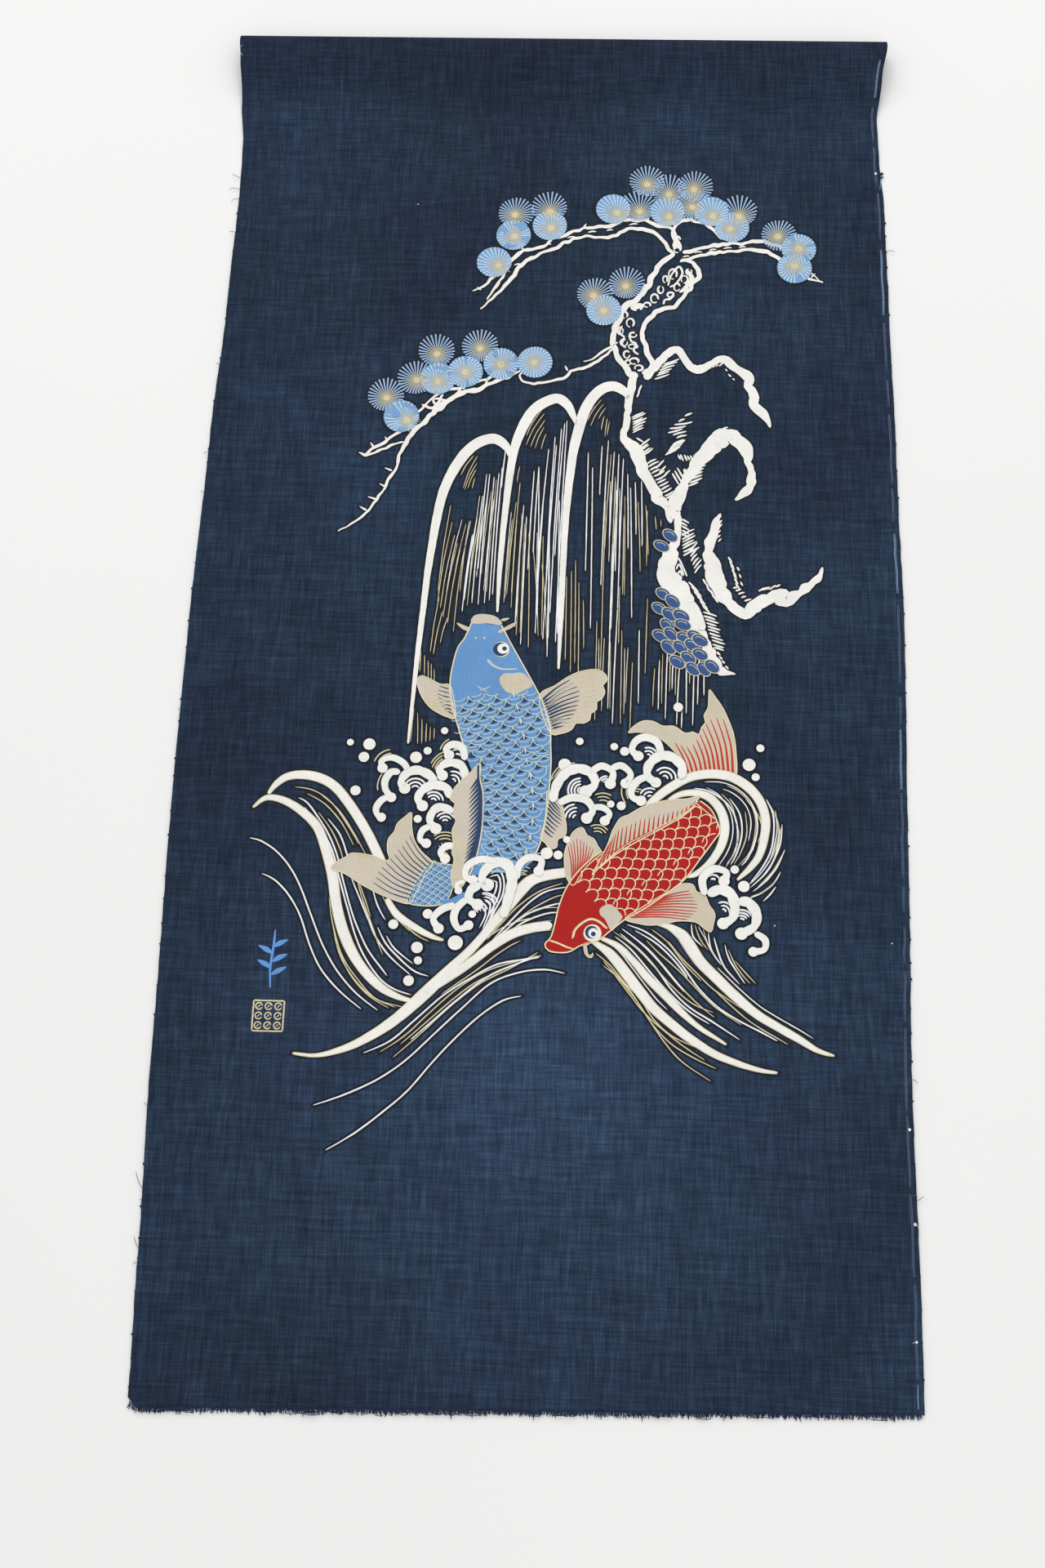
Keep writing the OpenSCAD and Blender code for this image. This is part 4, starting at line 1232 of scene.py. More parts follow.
WAVE_WHITE = [
    [(-177.5, -123.5), (-170, -125.5), (-160, -132), (-151, -142), (-144, -154), (-137, -170),
     (-128, -190), (-118, -206), (-106, -219), (-92.5, -229)],
    [(-168.5, -146), (-160, -150), (-151, -159), (-143, -172), (-136, -190), (-128, -205),
     (-116, -218), (-102.5, -228.5)],
    [(-127.5, -286.5), (-110, -280), (-90, -270), (-74, -258), (-58, -242), (-42, -226),
     (-26, -211), (-10, -204), (6, -201.5), (18.5, -203.5)],
    [(-118.5, -312.5), (-102, -302), (-86, -289), (-72, -276), (-60, -261), (-48, -247),
     (-32, -231), (-18, -221), (-7, -218)],
    [(-149, -97), (-143.5, -100), (-137, -108), (-129, -120), (-123, -133), (-119.5, -145),
     (-112, -168), (-106, -182), (-100, -193), (-92, -203), (-88, -208)],
    [(-145, -103), (-138.5, -111), (-130.5, -122), (-125, -133), (-121.5, -145), (-114, -168),
     (-108.5, -184), (-102, -197), (-92.5, -209.5), (-83, -216), (-73, -219)],
    [(-130, -110), (-122, -120), (-117, -132), (-114, -142)],
    [(-113.5, -147), (-107, -161), (-101, -174), (-96, -184.5), (-87, -196), (-74, -207)],
    [(-100, -154), (-96, -165), (-91, -173.5)],
    [(-95.5, -178), (-89.5, -188.5), (-79, -199), (-71, -205), (-63, -207.5)],
    [(-90, -183), (-84.5, -191), (-73, -200)],
    [(-100, -255), (-84, -247), (-70, -234), (-54, -219), (-38, -208), (-22, -199),
     (-2, -195), (3, -194)],
    [(-72, -246), (-58, -233), (-44, -220), (-28, -207), (-12, -199), (4, -193)],
    [(-28, -188), (-18, -178), (-6, -168), (8, -162), (16, -160)],
    [(-27, -186), (-16, -173), (-4, -160), (6, -153), (18, -150)],
    [(-20, -183), (-8, -173), (6, -167), (14, -166)],
    [(55, -172.5), (67, -177), (79.5, -186.5), (89, -197.5), (98, -210), (109, -221),
     (121.5, -229), (135.5, -236), (145, -241)],
    [(51, -178), (64, -189), (73, -199), (82.5, -212), (93.5, -222.5), (107.5, -231),
     (123, -241)],
    [(60, -176), (72, -183), (82, -192), (91, -203), (92, -206)],
    [(48, -180), (58, -188), (70, -202), (80, -213), (92, -224), (105, -232)],
    [(52, -175), (64, -184), (74, -194), (84, -206), (90, -213)],
    [(95, -85), (104, -86.5), (114, -93), (120, -102), (122, -114.5), (120, -125.5),
     (115, -133.5)],
    [(117, -91), (123, -100.5), (124.5, -113), (121.5, -125.5), (117.5, -133.5)],
    [(126, -89.5), (131.5, -97.5), (134, -107), (132.5, -118), (128, -129),
     (124, -134)],
    [(139.5, -91), (143.5, -100.5), (144, -111.5), (142, -124), (136.5, -135), (129.5, -144.5)],
    [(149, -107), (148, -118), (145, -127), (139, -138), (129.5, -147.5)],
    [(150.5, -123), (146, -133.5), (139, -143), (131, -150)],
    [(148, -137), (143.5, -144.5), (136.5, -150.5), (128, -154.5)],
    [(145, -146.5), (141, -152), (137, -156)],
    [(94, -171), (95, -179), (101, -185)], [(98, -172.5), (105, -185)],
    [(104, -176), (106, -187), (112, -196)],
    [(107.5, -179), (110, -188), (114, -197.5), (123, -207.5)],
    [(114, -183.5), (117, -193), (126, -207)],
]

WAVE_GOLD = [
    [(-152, -90), (-140, -92), (-128, -100), (-116, -116), (-110, -126)],
    [(-136, -94), (-124, -104), (-114, -118), (-105, -133)],
    [(-144, -94), (-132, -101), (-121, -113), (-113, -127)],
    [(-136, -106), (-127, -118), (-121, -130), (-118, -140)],
    [(-110, -147.5), (-105.5, -161), (-99.5, -175.5), (-95, -187), (-91.5, -195)],
    [(-108.5, -150), (-104, -161), (-100, -172)],
    [(-126, -160), (-123, -176), (-116, -196), (-106, -210), (-94, -222), (-78, -226.5)],
    [(-124, -172), (-118, -194), (-108, -210), (-96, -221), (-82, -227)],
    [(-121, -186), (-112, -205), (-100, -219), (-86, -227.5)],
    [(-90, -162), (-82, -173), (-72, -182), (-64, -186)],
    [(-94, -158), (-86, -170), (-76, -180)],
    [(-90, -254), (-76, -244), (-62, -230), (-46, -215), (-30, -204), (-14, -198), (2, -193)],
    [(-82, -257), (-66, -242), (-50, -226), (-32, -211), (-14, -201), (2, -191)],
    [(-78, -249), (-64, -236), (-48, -221), (-34, -210), (-18, -202)],
    [(-29, -184), (-20, -173), (-10, -162), (2, -153), (16, -147.5)],
    [(-25, -186), (-14, -174), (-2, -164), (10, -157), (16, -155)],
    [(-24, -183), (-10, -171), (2, -164), (16, -163)],
    [(67, -182), (74.5, -189.5), (85.5, -199), (95, -208.5), (107.5, -221), (124, -232)],
    [(47, -177), (60, -186), (71, -197), (83, -210), (95, -220), (107.5, -225)],
    [(56, -178), (68, -187), (78, -198), (88, -210), (98, -220), (108, -228)],
    [(36.5, -190.5), (45, -197.5), (54.5, -208.5), (64, -218), (71.5, -229.5),
     (82.5, -239.5), (98, -246.5)],
    [(41, -198), (51, -206), (62, -219.5), (71.5, -233.5), (82.5, -244.5), (95, -252),
     (109, -258.5)],
    [(42, -196.5), (56, -211), (67, -227), (78, -243), (89, -255), (106, -266)],
    [(80, -182), (89, -193), (98, -202), (107.5, -211), (124, -222)],
    [(70, -175), (80, -183), (90, -196), (100, -206)],
    [(120, -104), (122.5, -114), (119, -127), (114, -136)],
    [(126.5, -99), (127.5, -113), (124, -125), (119.5, -133)],
    [(112, -88), (118, -95), (120.5, -103)],
    [(129, -92), (135.5, -104), (136.5, -112), (134, -119)],
    [(142, -95), (146.5, -106), (146.5, -116), (143, -127), (136, -138)],
    [(149, -126), (143, -137), (134, -147)], [(146, -141), (139, -149), (130, -153)],
    [(96, -171.5), (99, -180), (104, -187)], [(101, -174), (104, -184), (108, -191)],
    [(120, -193), (126, -200), (132.5, -207)], [(116, -186), (121, -197), (129, -207)],
]

# Share of a band's width that is white
BAND_SLIM = 0.74
WAVE_WHITE_W = 0.95
WAVE_GOLD_W = 0.7
CURL_LINE_W = 0.65
FOAM_TAIL_W = 1.0
GOLD_ARC_W = 0.8
# Fine lines beside a band: (band, how far to its left, start, end)
CURL_LINES = [(8, -5, 0.3, 0.9), (8, -6, 0.42, 0.96), (8, -9, 0.4, 0.85), (9, 5, 0.25, 0.8),
              (8, 7, 0.66, 1.0), (8, 9, 0.72, 0.96), (7, 5, 0.35, 0.9),
              (5, -6, 0.1, 0.7), (5, 5, 0.05, 0.5), (7, -6, 0.4, 0.85),
              (4, -6, 0.1, 0.8), (4, 6, 0.3, 0.9)]

# Foam: (ball, ball radius, band width, the hook that leads to the ball)
FOAM = [
    ((-98, -76.5), 3.2, 4.2, [(-82, -78), (-85, -73), (-92, -69.5), (-98.5, -71.5)]),
    ((-91.5, -95.5), 3.1, 4.6, [(-87, -79), (-92.5, -79), (-96, -85), (-95, -91)]),
    ((-97, -108.5), 2.9, 4.2, [(-93, -95), (-97.5, -97.5), (-100.5, -102.5), (-99.5, -107)]),
    ((-83.5, -89.5), 3.5, 5.6, [(-66.5, -89), (-67, -82), (-75.5, -77.5), (-82.5, -79.5),
                                (-86, -85)]),
    ((-72, -100.5), 3.5, 5.6, [(-55, -95), (-58, -88.5), (-66, -87), (-72.5, -90.5),
                                 (-75, -96)]),
    ((-63, -115), 3.5, 5.2, [(-53, -104), (-60, -101), (-65, -103.5), (-67, -110)]),
    ((-68.5, -124.5), 3, 4, [(-66, -113.5), (-71, -116), (-72.5, -122)]),
    ((-56.5, -134), 3.1, 4.4, [(-50, -126), (-56, -126), (-59.5, -130)]),
    ((-57, -67), 3.2, 5, [(-47, -70), (-49, -62), (-55, -60), (-59, -63)]),
    ((-60.5, -80.5), 3.4, 5.4, [(-46, -82), (-49, -74), (-57, -72), (-62.5, -76)]),
    ((1, -140.5), 3.2, 4.6, [(-12.5, -146), (-11, -137), (-5, -132), (2.5, -133.5)]),
    ((-30, -150), 4, 6.6, [(-20, -170), (-16.5, -156), (-15, -146), (-18, -137.5),
                           (-25, -135.5), (-31, -140), (-33.5, -146)]),
    ((-39, -147), 3, 4.6, [(-25, -135), (-35, -134), (-42.5, -138.5), (-43.5, -145)]),
    ((-35.5, -162.5), 3.6, 5.4, [(-34, -150), (-39.5, -153), (-41, -159)]),
    ((-47.5, -154), 2.4, 3, [(-44, -148), (-48.5, -150)]),
    ((-40.5, -175.5), 3, 4.6, [(-42, -159), (-48, -165), (-49.5, -172), (-46, -178)]),
    ((-58.5, -178), 3.2, 4.6, [(-49, -163), (-57, -166), (-62, -172)]),
    ((28.5, -89), 4.1, 6.2, [(8, -96), (10.5, -85), (16, -77), (24, -74), (31.5, -77),
                               (34, -84)]),
    ((43.5, -83.5), 3.4, 4.6, [(31.5, -76), (38, -72), (45, -76)]),
    ((53, -83), 3.3, 4.4, [(43.5, -74), (50, -71.5), (56, -77)]),
    ((29.5, -106), 3.6, 5, [(12, -97), (20, -93), (29, -94.5), (33, -101)]),
    ((40.5, -107.5), 3.1, 4, [(33, -99), (39, -99), (43.5, -103)]),
    ((60.5, -65), 3.3, 5, [(75, -64), (72, -55.5), (65, -52.5), (59, -55), (56.5, -61)]),
    ((71.5, -82), 3.4, 6, [(87, -79), (87.5, -71), (81, -65), (73, -65), (67, -71),
                           (66.5, -78)]),
    ((62.5, -94), 3.3, 4.8, [(67, -78), (60.5, -81), (56.5, -87), (57.5, -92)]),
    ((113.5, -144), 3.4, 4.8, [(102, -153), (100.5, -143), (107, -136.5), (115, -138.5)]),
    ((113, -170.5), 3.6, 6.4, [(104, -153), (110.5, -149.5), (117.5, -152), (120, -160),
                                 (118.5, -167)]),
    ((124, -176.5), 3.8, 6.2, [(122, -157), (128, -157), (133, -164), (131.5, -172)]),
    ((131, -187.5), 3, 4.2, [(132, -176), (138, -180), (137.5, -186)]),
]

# Fine arcs: (centre, first radius, last radius, lines, start and end angle)
FOAM_ARCS = [
    ((-77, -90), 2.5, 7.2, 4, 20, 150), ((-65.5, -97.5), 2, 6.2, 4, 10, 140),
    ((-57.5, -111), 2, 6.4, 4, 30, 150), ((-52, -68), 2, 5, 3, 20, 120),
    ((-54, -84), 1.6, 6.4, 4, -20, 110), ((66.5, -65), 1.6, 6, 4, -30, 120),
    ((77, -79), 1.8, 7, 4, -10, 140), ((68, -92), 1.6, 6.4, 4, 60, 160),
    ((25.5, -88), 2, 8, 5, 90, 250), ((23, -106), 2, 9, 5, 90, 190),
    ((41, -83), 1.4, 4.6, 3, 70, 170), ((113, -163), 1.6, 6, 4, -10, 120),
    ((124, -169), 2, 7.4, 4, 30, 120), ((107, -144), 1.5, 4, 2, 20, 150),
    ((-37, -168), 2, 8, 4, 20, 110), ((-31, -163), 3, 8, 4, 10, 100),
]
# Long arcs that fall from the curls under the blue carp
FOAM_TAILS = [
    [(-28.5, -143), (-23, -141), (-20, -147), (-20.5, -156), (-25, -166), (-28, -174)],
    [(-29, -145), (-24, -143.5), (-22, -149), (-23, -157), (-27, -166), (-30, -172)],
    [(-27.5, -146.5), (-24.5, -148), (-25, -154), (-28, -160)],
    [(-33, -156), (-27, -157), (-25.5, -163), (-28, -172), (-33, -181)],
    [(-32, -159), (-28, -161), (-28.5, -168), (-32, -178)],
    [(-31, -163), (-30.5, -169), (-34, -177)],
]
# Gold arcs outside the curls: (centre, first radius, last radius, lines, angles)
GOLD_ARCS = [
    ((-92, -76), 9.5, 12, 3, 95, 160), ((-87, -88), 10.5, 13.5, 3, 150, 200),
    ((-55, -78), 10.5, 14, 4, 115, 165), ((-52, -66), 9, 11, 2, 120, 170),
    ((-57, -128), 7, 11, 4, 60, 130), ((24, -86), 14.5, 18, 4, 105, 165),
    ((39, -100), 6, 10.5, 4, 60, 120), ((64, -74), 11, 14.5, 4, 215, 265),
    ((63, -88), 9.5, 12.5, 4, 160, 215), ((-8, -146), 3.5, 8, 4, 60, 160),
    ((-50, -120), 8, 12, 3, 200, 240), ((36, -118), 4, 8, 3, 30, 120),
]

DROPS = [
    (-119, -60, 2.2), (-107, -61, 3.8), (-110, -69.5, 3.3), (-77.5, -69, 3.7),
    (-70.5, -64.5, 2.5), (-60.5, -51, 2.3), (-114, -91.5, 3.2), (-74.5, -109, 2.5),
    (-65.5, -169, 3), (-48, -186.5, 4.5), (-38.5, -168.5, 2.3), (5.5, -129, 3.7),
    (12.5, -130, 2.8), (17.5, -120, 2.2), (24, -56, 2.4), (45.5, -59, 2.4), (52, -62, 2.9),
    (15, -71.5, 3.9), (44, -96.5, 2.3), (50.5, -97.5, 2.8), (120, -136.5, 2.6),
    (125.5, -147, 3.5), (85, -32, 3), (136, -58, 2.5), (129, -69, 4), (133, -77, 2.5),
    (-86, -176, 3), (-71, -190, 3.5), (-70, -198, 2.5), (-75, -210.5, 3.2),
]


# The first curls pass behind the blue carp's back fin
FOAM_BEHIND_FIN = 10


def arc_lines(prints, centre, first, last, count, start, end, width=1.15):
    """Fine lines round one centre, far enough apart for the navy to show between them."""
    count = min(count, round((last - first) / 2.1) + 1)
    for i in range(count):
        t = i / max(count - 1, 1)
        radius = first + (last - first) * t
        spread = random.uniform(-8, 8)
        line = []
        for k in range(6):
            angle = math.radians(start + spread + (end - start) * k / 5)
            line.append((centre[0] + radius * math.cos(angle),
                         centre[1] + radius * math.sin(angle), width))
        draw(prints, line, grow=1.6, rough=0.06, step=1.2)


def fine_line(prints, places, width):
    """A thin line whose ends are half as wide."""
    line = [(x, y, width) for x, y in places]
    line[0] = (*places[0], width * 0.5)
    line[-1] = (*places[-1], width * 0.5)
    draw(prints, line, grow=2.8, rough=0.1, step=2.5)


def add_waves():
    bands = Print("print_wave_bands", 3, WHITE)
    white = Print("print_wave_white", 2, COOL_WHITE)
    gold = Print("print_wave_gold", 2, GOLD)
    for band in WAVE_BANDS:
        band = [(x, y, w * BAND_SLIM) for x, y, w in band]
        draw(bands, band, rough=0.15, grow=3.2)
        for side in (1, -1):
            rim = [(x, y, 0.5) for x, y in offset_line(band, side)]
            gold.stroke(rim, rough=0.08, step=2)
    for line in WAVE_WHITE:
        fine_line(white, line, WAVE_WHITE_W)
    for line in WAVE_GOLD:
        fine_line(gold, line, WAVE_GOLD_W)
    for band, gap, start, end in CURL_LINES:
        line = beside(WAVE_BANDS[band], gap, start, end)
        fine_line(white if gap % 2 else gold, line, CURL_LINE_W)
    bands.finish("wave_bands", slot="white_print")
    white.finish("wave_white_lines", slot="white_print")
    gold.finish("wave_gold_lines", slot="gold_print")


def offset_line(band, side):
    """The edge of a band, where a fine gold line shows beside it."""
    curve = spline(band, 3)
    return [(x + side * nx * (w / 2 + 0.25), y + side * ny * (w / 2 + 0.25))
            for (x, y, w), (nx, ny) in zip(curve, normals_of(curve))]


def add_foam():
    """Each curl is a hooked band that thickens and ends in a round ball."""
    foam = Print("print_foam", 10, WHITE)
    seams = Print("print_foam_seams", 10, GREY_BLUE)
    arcs = Print("print_foam_arcs", 4, COOL_WHITE)
    gold = Print("print_foam_gold_arcs", 4, GOLD)
    for order, (ball, radius, width, hook) in enumerate(FOAM):
        level = 9 + order * 0.15 if order < FOAM_BEHIND_FIN else 13.5 + order * 0.1
        line = []
        count = len(hook)
        for i, (x, y) in enumerate(hook):
            swell = 0.75 + 0.35 * math.sin(math.pi * (i + 0.6) / count)
            line.append((x, y, width * swell * 0.86))
        line.append((*ball, radius * 1.4))
        scalloped = width > 5
        line = scallop(line) if scalloped else line
        seams.level = level
        seams.stroke(line, grow=0.5, rough=0.05)
        foam.level = level + 0.05
        foam.stroke(line, rough=0.08, step=1.0)
        foam.level = level + 0.1
        foam.disc(*ball, radius)
        GROUND.stroke(line, grow=3.0, step=2)
        GROUND.disc(*ball, radius + 1.5)
    for row in FOAM_ARCS:
        arc_lines(arcs, *row)
    for line in FOAM_TAILS:
        fine_line(arcs, line, FOAM_TAIL_W)
    for row in GOLD_ARCS:
        arc_lines(gold, *row, width=GOLD_ARC_W)
    foam.finish("foam_curls", slot="white_print")
    seams.finish(slot="pale_blue_print")
    arcs.finish(slot="white_print")
    gold.finish(slot="gold_print")

    drops = Print("print_drops", 9, WHITE)
    for x, y, radius in DROPS:
        drops.disc(x, y, radius)
        GROUND.disc(x, y, radius + 1.6)
    drops.finish("spray_drops", slot="white_print")


def scallop(line):
    """Swell a band in soft lobes, like the outside of a big curl."""
    result = []
    curve = spline(line, 1.0)
    for i, (x, y, w) in enumerate(curve):
        inside = min(i, len(curve) - 1 - i) / 4
        lobe = 0.9 * (abs(math.sin(i * 0.42)) - 0.5) * min(inside, 1)
        result.append((x, y, w + lobe))
    return result


add_waves()
add_foam()


# ---- carp ----

class Axis:
    """The middle line of a fish, for places given as (distance, offset)."""

    STEPS = 400

    def __init__(self, points):
        self.curve = resample(points, self.STEPS)
        self.sides = normals_of(self.curve)
        self.length = sum(math.dist(p, q) for p, q in zip(self.curve, self.curve[1:]))

    def place(self, distance, offset):
        k = min(max(round(self.STEPS * distance / self.length), 0), self.STEPS)
        x, y = self.curve[k]
        nx, ny = self.sides[k]
        return (x + nx * offset, y + ny * offset)


def scales(prints, axis, region, step, half_w, first, width):
    """Rows of U-shaped scale edges, each row half a scale along from the last."""
    centres = []
    rows = int((axis.length - first) / step) + 2
    for j in range(rows):
        d = first + j * step
        for i in range(-6, 7):
            s = (2 * i + j % 2) * half_w
            line = []
            for k in range(9):
                angle = math.pi * k / 8
                place = axis.place(d + step * math.sin(angle), s + half_w * math.cos(angle))
                if is_inside(place, region):
                    line.append((*place, width))
            if len(line) > 3:
                prints.stroke(line, rough=0.06, step=1.2, blunt=True)
            if is_inside(axis.place(d, s), region):
                centres.append((d, s))
    return centres


def rays(prints, roots, tips, count, root_w, tip_w, bend=0.0):
    """Fine lines from a fin's root out towards its edge."""
    starts = resample(roots, count - 1)
    ends = resample(tips, count - 1)
    for (x0, y0), (x1, y1) in zip(starts, ends):
        nx = -(y1 - y0) * bend
        ny = (x1 - x0) * bend
        mid = ((x0 + x1) / 2 + nx, (y0 + y1) / 2 + ny, (root_w + tip_w) / 2)
        prints.stroke([(x0, y0, root_w), mid, (x1, y1, tip_w)], rough=0.08, step=2)


BLUE_LEFT = [(-46.5, 22.5), (-50.5, 12), (-54.5, 5.5), (-57, -5), (-58.5, -17.5),
             (-57.5, -28), (-54, -42.5), (-50, -55), (-46, -68), (-41, -80), (-36, -90),
             (-34.5, -105), (-35, -118), (-37, -132), (-39, -142)]
BLUE_RIGHT = [(-27.5, 21), (-21.5, 9.5), (-14.5, -3), (-7.5, -15.5), (-1, -28), (2.5, -38),
              (5.5, -49.5), (6, -60), (6.5, -70), (6, -85), (5, -100), (3, -115), (0.5, -125),
              (-4, -135), (-11, -142)]
BLUE_SCALED = [(-57.5, -28), (-50, -27.5), (-44, -26), (-36, -25), (-28, -25.5), (-20, -26),
               (-12, -24), (-4, -20)] + BLUE_RIGHT[4:] + list(reversed(BLUE_LEFT[6:]))
BLUE_AXIS = [(-37, 22), (-36.5, 5), (-33, -16), (-27, -35), (-22, -55), (-20, -70),
             (-16, -86), (-15, -110), (-20, -134), (-23, -144)]
BLUE_TAIL = [(-65, -136), (-60, -137), (-52, -138), (-49.5, -141), (-51, -152), (-54, -160),
             (-60, -163.5), (-70, -164), (-78, -162), (-76.5, -155), (-71.5, -145)]
BLUE_TAIL_AXIS = [(-49, -150), (-60, -151), (-78, -154)]
BLUE_FINS = {
    "left_pectoral": [(-58, -21.5), (-64.5, -20), (-71.5, -16.5), (-76.5, -14.5), (-79.5, -17),
                      (-78, -23.5), (-75, -30), (-70, -36), (-64.5, -39.5),
                      (-58.5, -42), (-54, -41.5)],
    "right_pectoral": [(-2, -27), (8, -19), (17.5, -12), (26.5, -8.5), (34.5, -8),
                       (39.5, -11.5), (40, -15.5), (37.5, -18.5), (39, -22.5), (37, -27.5),
                       (34, -29.5), (34, -34.5), (30.5, -37.5), (30, -41.5), (26, -44),
                       (21.5, -44), (18.5, -48.5), (12.5, -51), (5, -50)],
    "pelvic": [(5, -89), (10, -92.5), (14, -97.5), (15.5, -104), (17, -111),
               (16.5, -117.5), (12, -120), (11.5, -125), (7.5, -126), (4.5, -122.5),
               (1.5, -119), (3.5, -110), (4.5, -100)],
    "tail": [(-78.5, -105), (-82, -107.5), (-87, -112.5), (-88.5, -117.5), (-92, -122.5),
             (-92, -130), (-90.5, -135), (-93.5, -136), (-100, -133.5), (-108.5, -132),
             (-114.5, -132), (-117.5, -134.5), (-122.5, -137.5), (-126, -142),
             (-117.5, -145), (-105, -152.5), (-92.5, -158.5), (-77.5, -163), (-74, -157.5),
             (-71, -151), (-68, -143.5), (-64, -137), (-71, -130), (-76, -122.5), (-78, -113.5)],
}
BLUE_DORSAL = [(-37.5, -72), (-43.5, -78.5), (-50, -85), (-53.5, -90), (-55, -96),
               (-52, -98.5), (-53, -104), (-51, -110), (-53, -116), (-52, -124),
               (-52.5, -130), (-51, -135), (-52.5, -145), (-50, -152.5), (-45, -151),
               (-38, -135), (-35.5, -122), (-34.5, -110), (-34.5, -101), (-35, -91),
               (-37, -82.5)]
DORSAL_BASE = [(-37.5, -73), (-37, -82.5), (-35, -91), (-34.5, -101), (-34.5, -110),
               (-35.5, -122), (-38, -135), (-41, -144)]

RED_BACK = [(9.5, -181.5), (12, -171.5), (13.5, -163.5), (17, -153), (22, -144),
            (29.5, -135), (38, -128), (46, -127), (56, -120.5), (66, -115), (77, -109.5),
            (88.5, -102), (95, -96), (99, -93.5)]
RED_BELLY = [(21.5, -190), (28, -186), (37.5, -183), (45.5, -176.5), (54.5, -169),
             (66, -162), (79.5, -152), (90, -143), (99, -130.5), (107, -119),
             (111, -112.5), (109, -105.5), (105.5, -98.5), (99.5, -93.5)]
RED_BODY = RED_BACK + list(reversed(RED_BELLY)) + [(16, -191), (8.5, -190), (6, -186)]
RED_SCALED = RED_BACK[4:] + list(reversed(RED_BELLY[4:])) + [(52, -168), (46, -161), (39, -163),
                                                             (36, -160), (30, -154), (24, -150)]
RED_AXIS = [(13, -188), (20, -178), (27, -168), (36, -158), (51, -146), (66, -136), (82, -124),
            (98, -110), (105, -102)]
RED_FINS = {
    "pectoral": [(22, -149), (17.5, -143), (16.5, -135), (16.5, -128), (19, -120),
                 (21, -115.5), (24.5, -112.5), (27.5, -112.5), (30, -117), (34, -119),
                 (36.5, -123.5), (39, -128), (35, -132), (30, -137), (26, -143)],
    "lower": [(54, -169), (63.5, -162), (72.5, -156), (82, -150), (87.5, -146.5),
              (94.5, -146.5), (97, -151), (102, -153), (104.5, -159), (108, -164.5),
              (107, -171.5), (105.5, -176), (100, -172.5), (96.5, -170), (86.5, -169.5),
              (77.5, -171.5), (70.5, -172.5), (63.5, -172)],
    "dorsal": [(33.5, -142), (38, -132.5), (42.5, -122.5), (45.5, -113.5), (50, -105.5),
               (54.5, -103.5), (61.5, -99), (68, -96), (77.5, -93.5), (84, -92.5),
               (91, -92), (99, -90), (97.5, -92.5), (95.5, -96), (88.5, -102),
               (79.5, -107.5), (72.5, -111.5), (63.5, -117), (54.5, -122), (45.5, -129.5),
               (37.5, -137.5)],
}
RED_TAIL = [(54, -49.5), (57.5, -45), (63, -41.5), (69.5, -41.5), (75.5, -44.5), (82.5, -44.5),
            (89.5, -49), (94, -48), (98, -49.5), (99.5, -45), (102, -41.5), (101, -37),
            (103.5, -32), (104, -25), (104.5, -19.5), (108.5, -25), (113, -32), (116.5, -40),
            (119.5, -49), (121, -60.5), (121, -76), (113, -76), (102, -77), (91, -79),
            (88, -70.5), (85, -64), (79, -57), (72.5, -52), (65.5, -49.5), (58.5, -49)]


def outline(prints, points, width=0.7, closed=True):
    """A fine rim along the edge of a shape."""
    edge = ring(points, 2.0) if closed else spline(points, 2.0)
    if closed:
        edge = edge + edge[:1]
    prints.stroke([(x, y, width) for x, y in edge], rough=0.06, step=2, blunt=True)


def shadow(points):
    """The flat navy ground that shows as a rim round a filled shape."""
    edge = ring(points, 3.0)
    GROUND.stroke([(x, y, 2.5) for x, y in edge + edge[:2]], rough=0.2, step=3)


# The dark root of one blue scale, as (along, across) the fish
ROOT_SHAPE = [(-3.8, 0), (-2.6, 1.5), (-1.2, 3), (-0.2, 2.2), (0.3, 0), (-0.2, -2.2), (-1.2, -3),
              (-2.6, -1.5)]


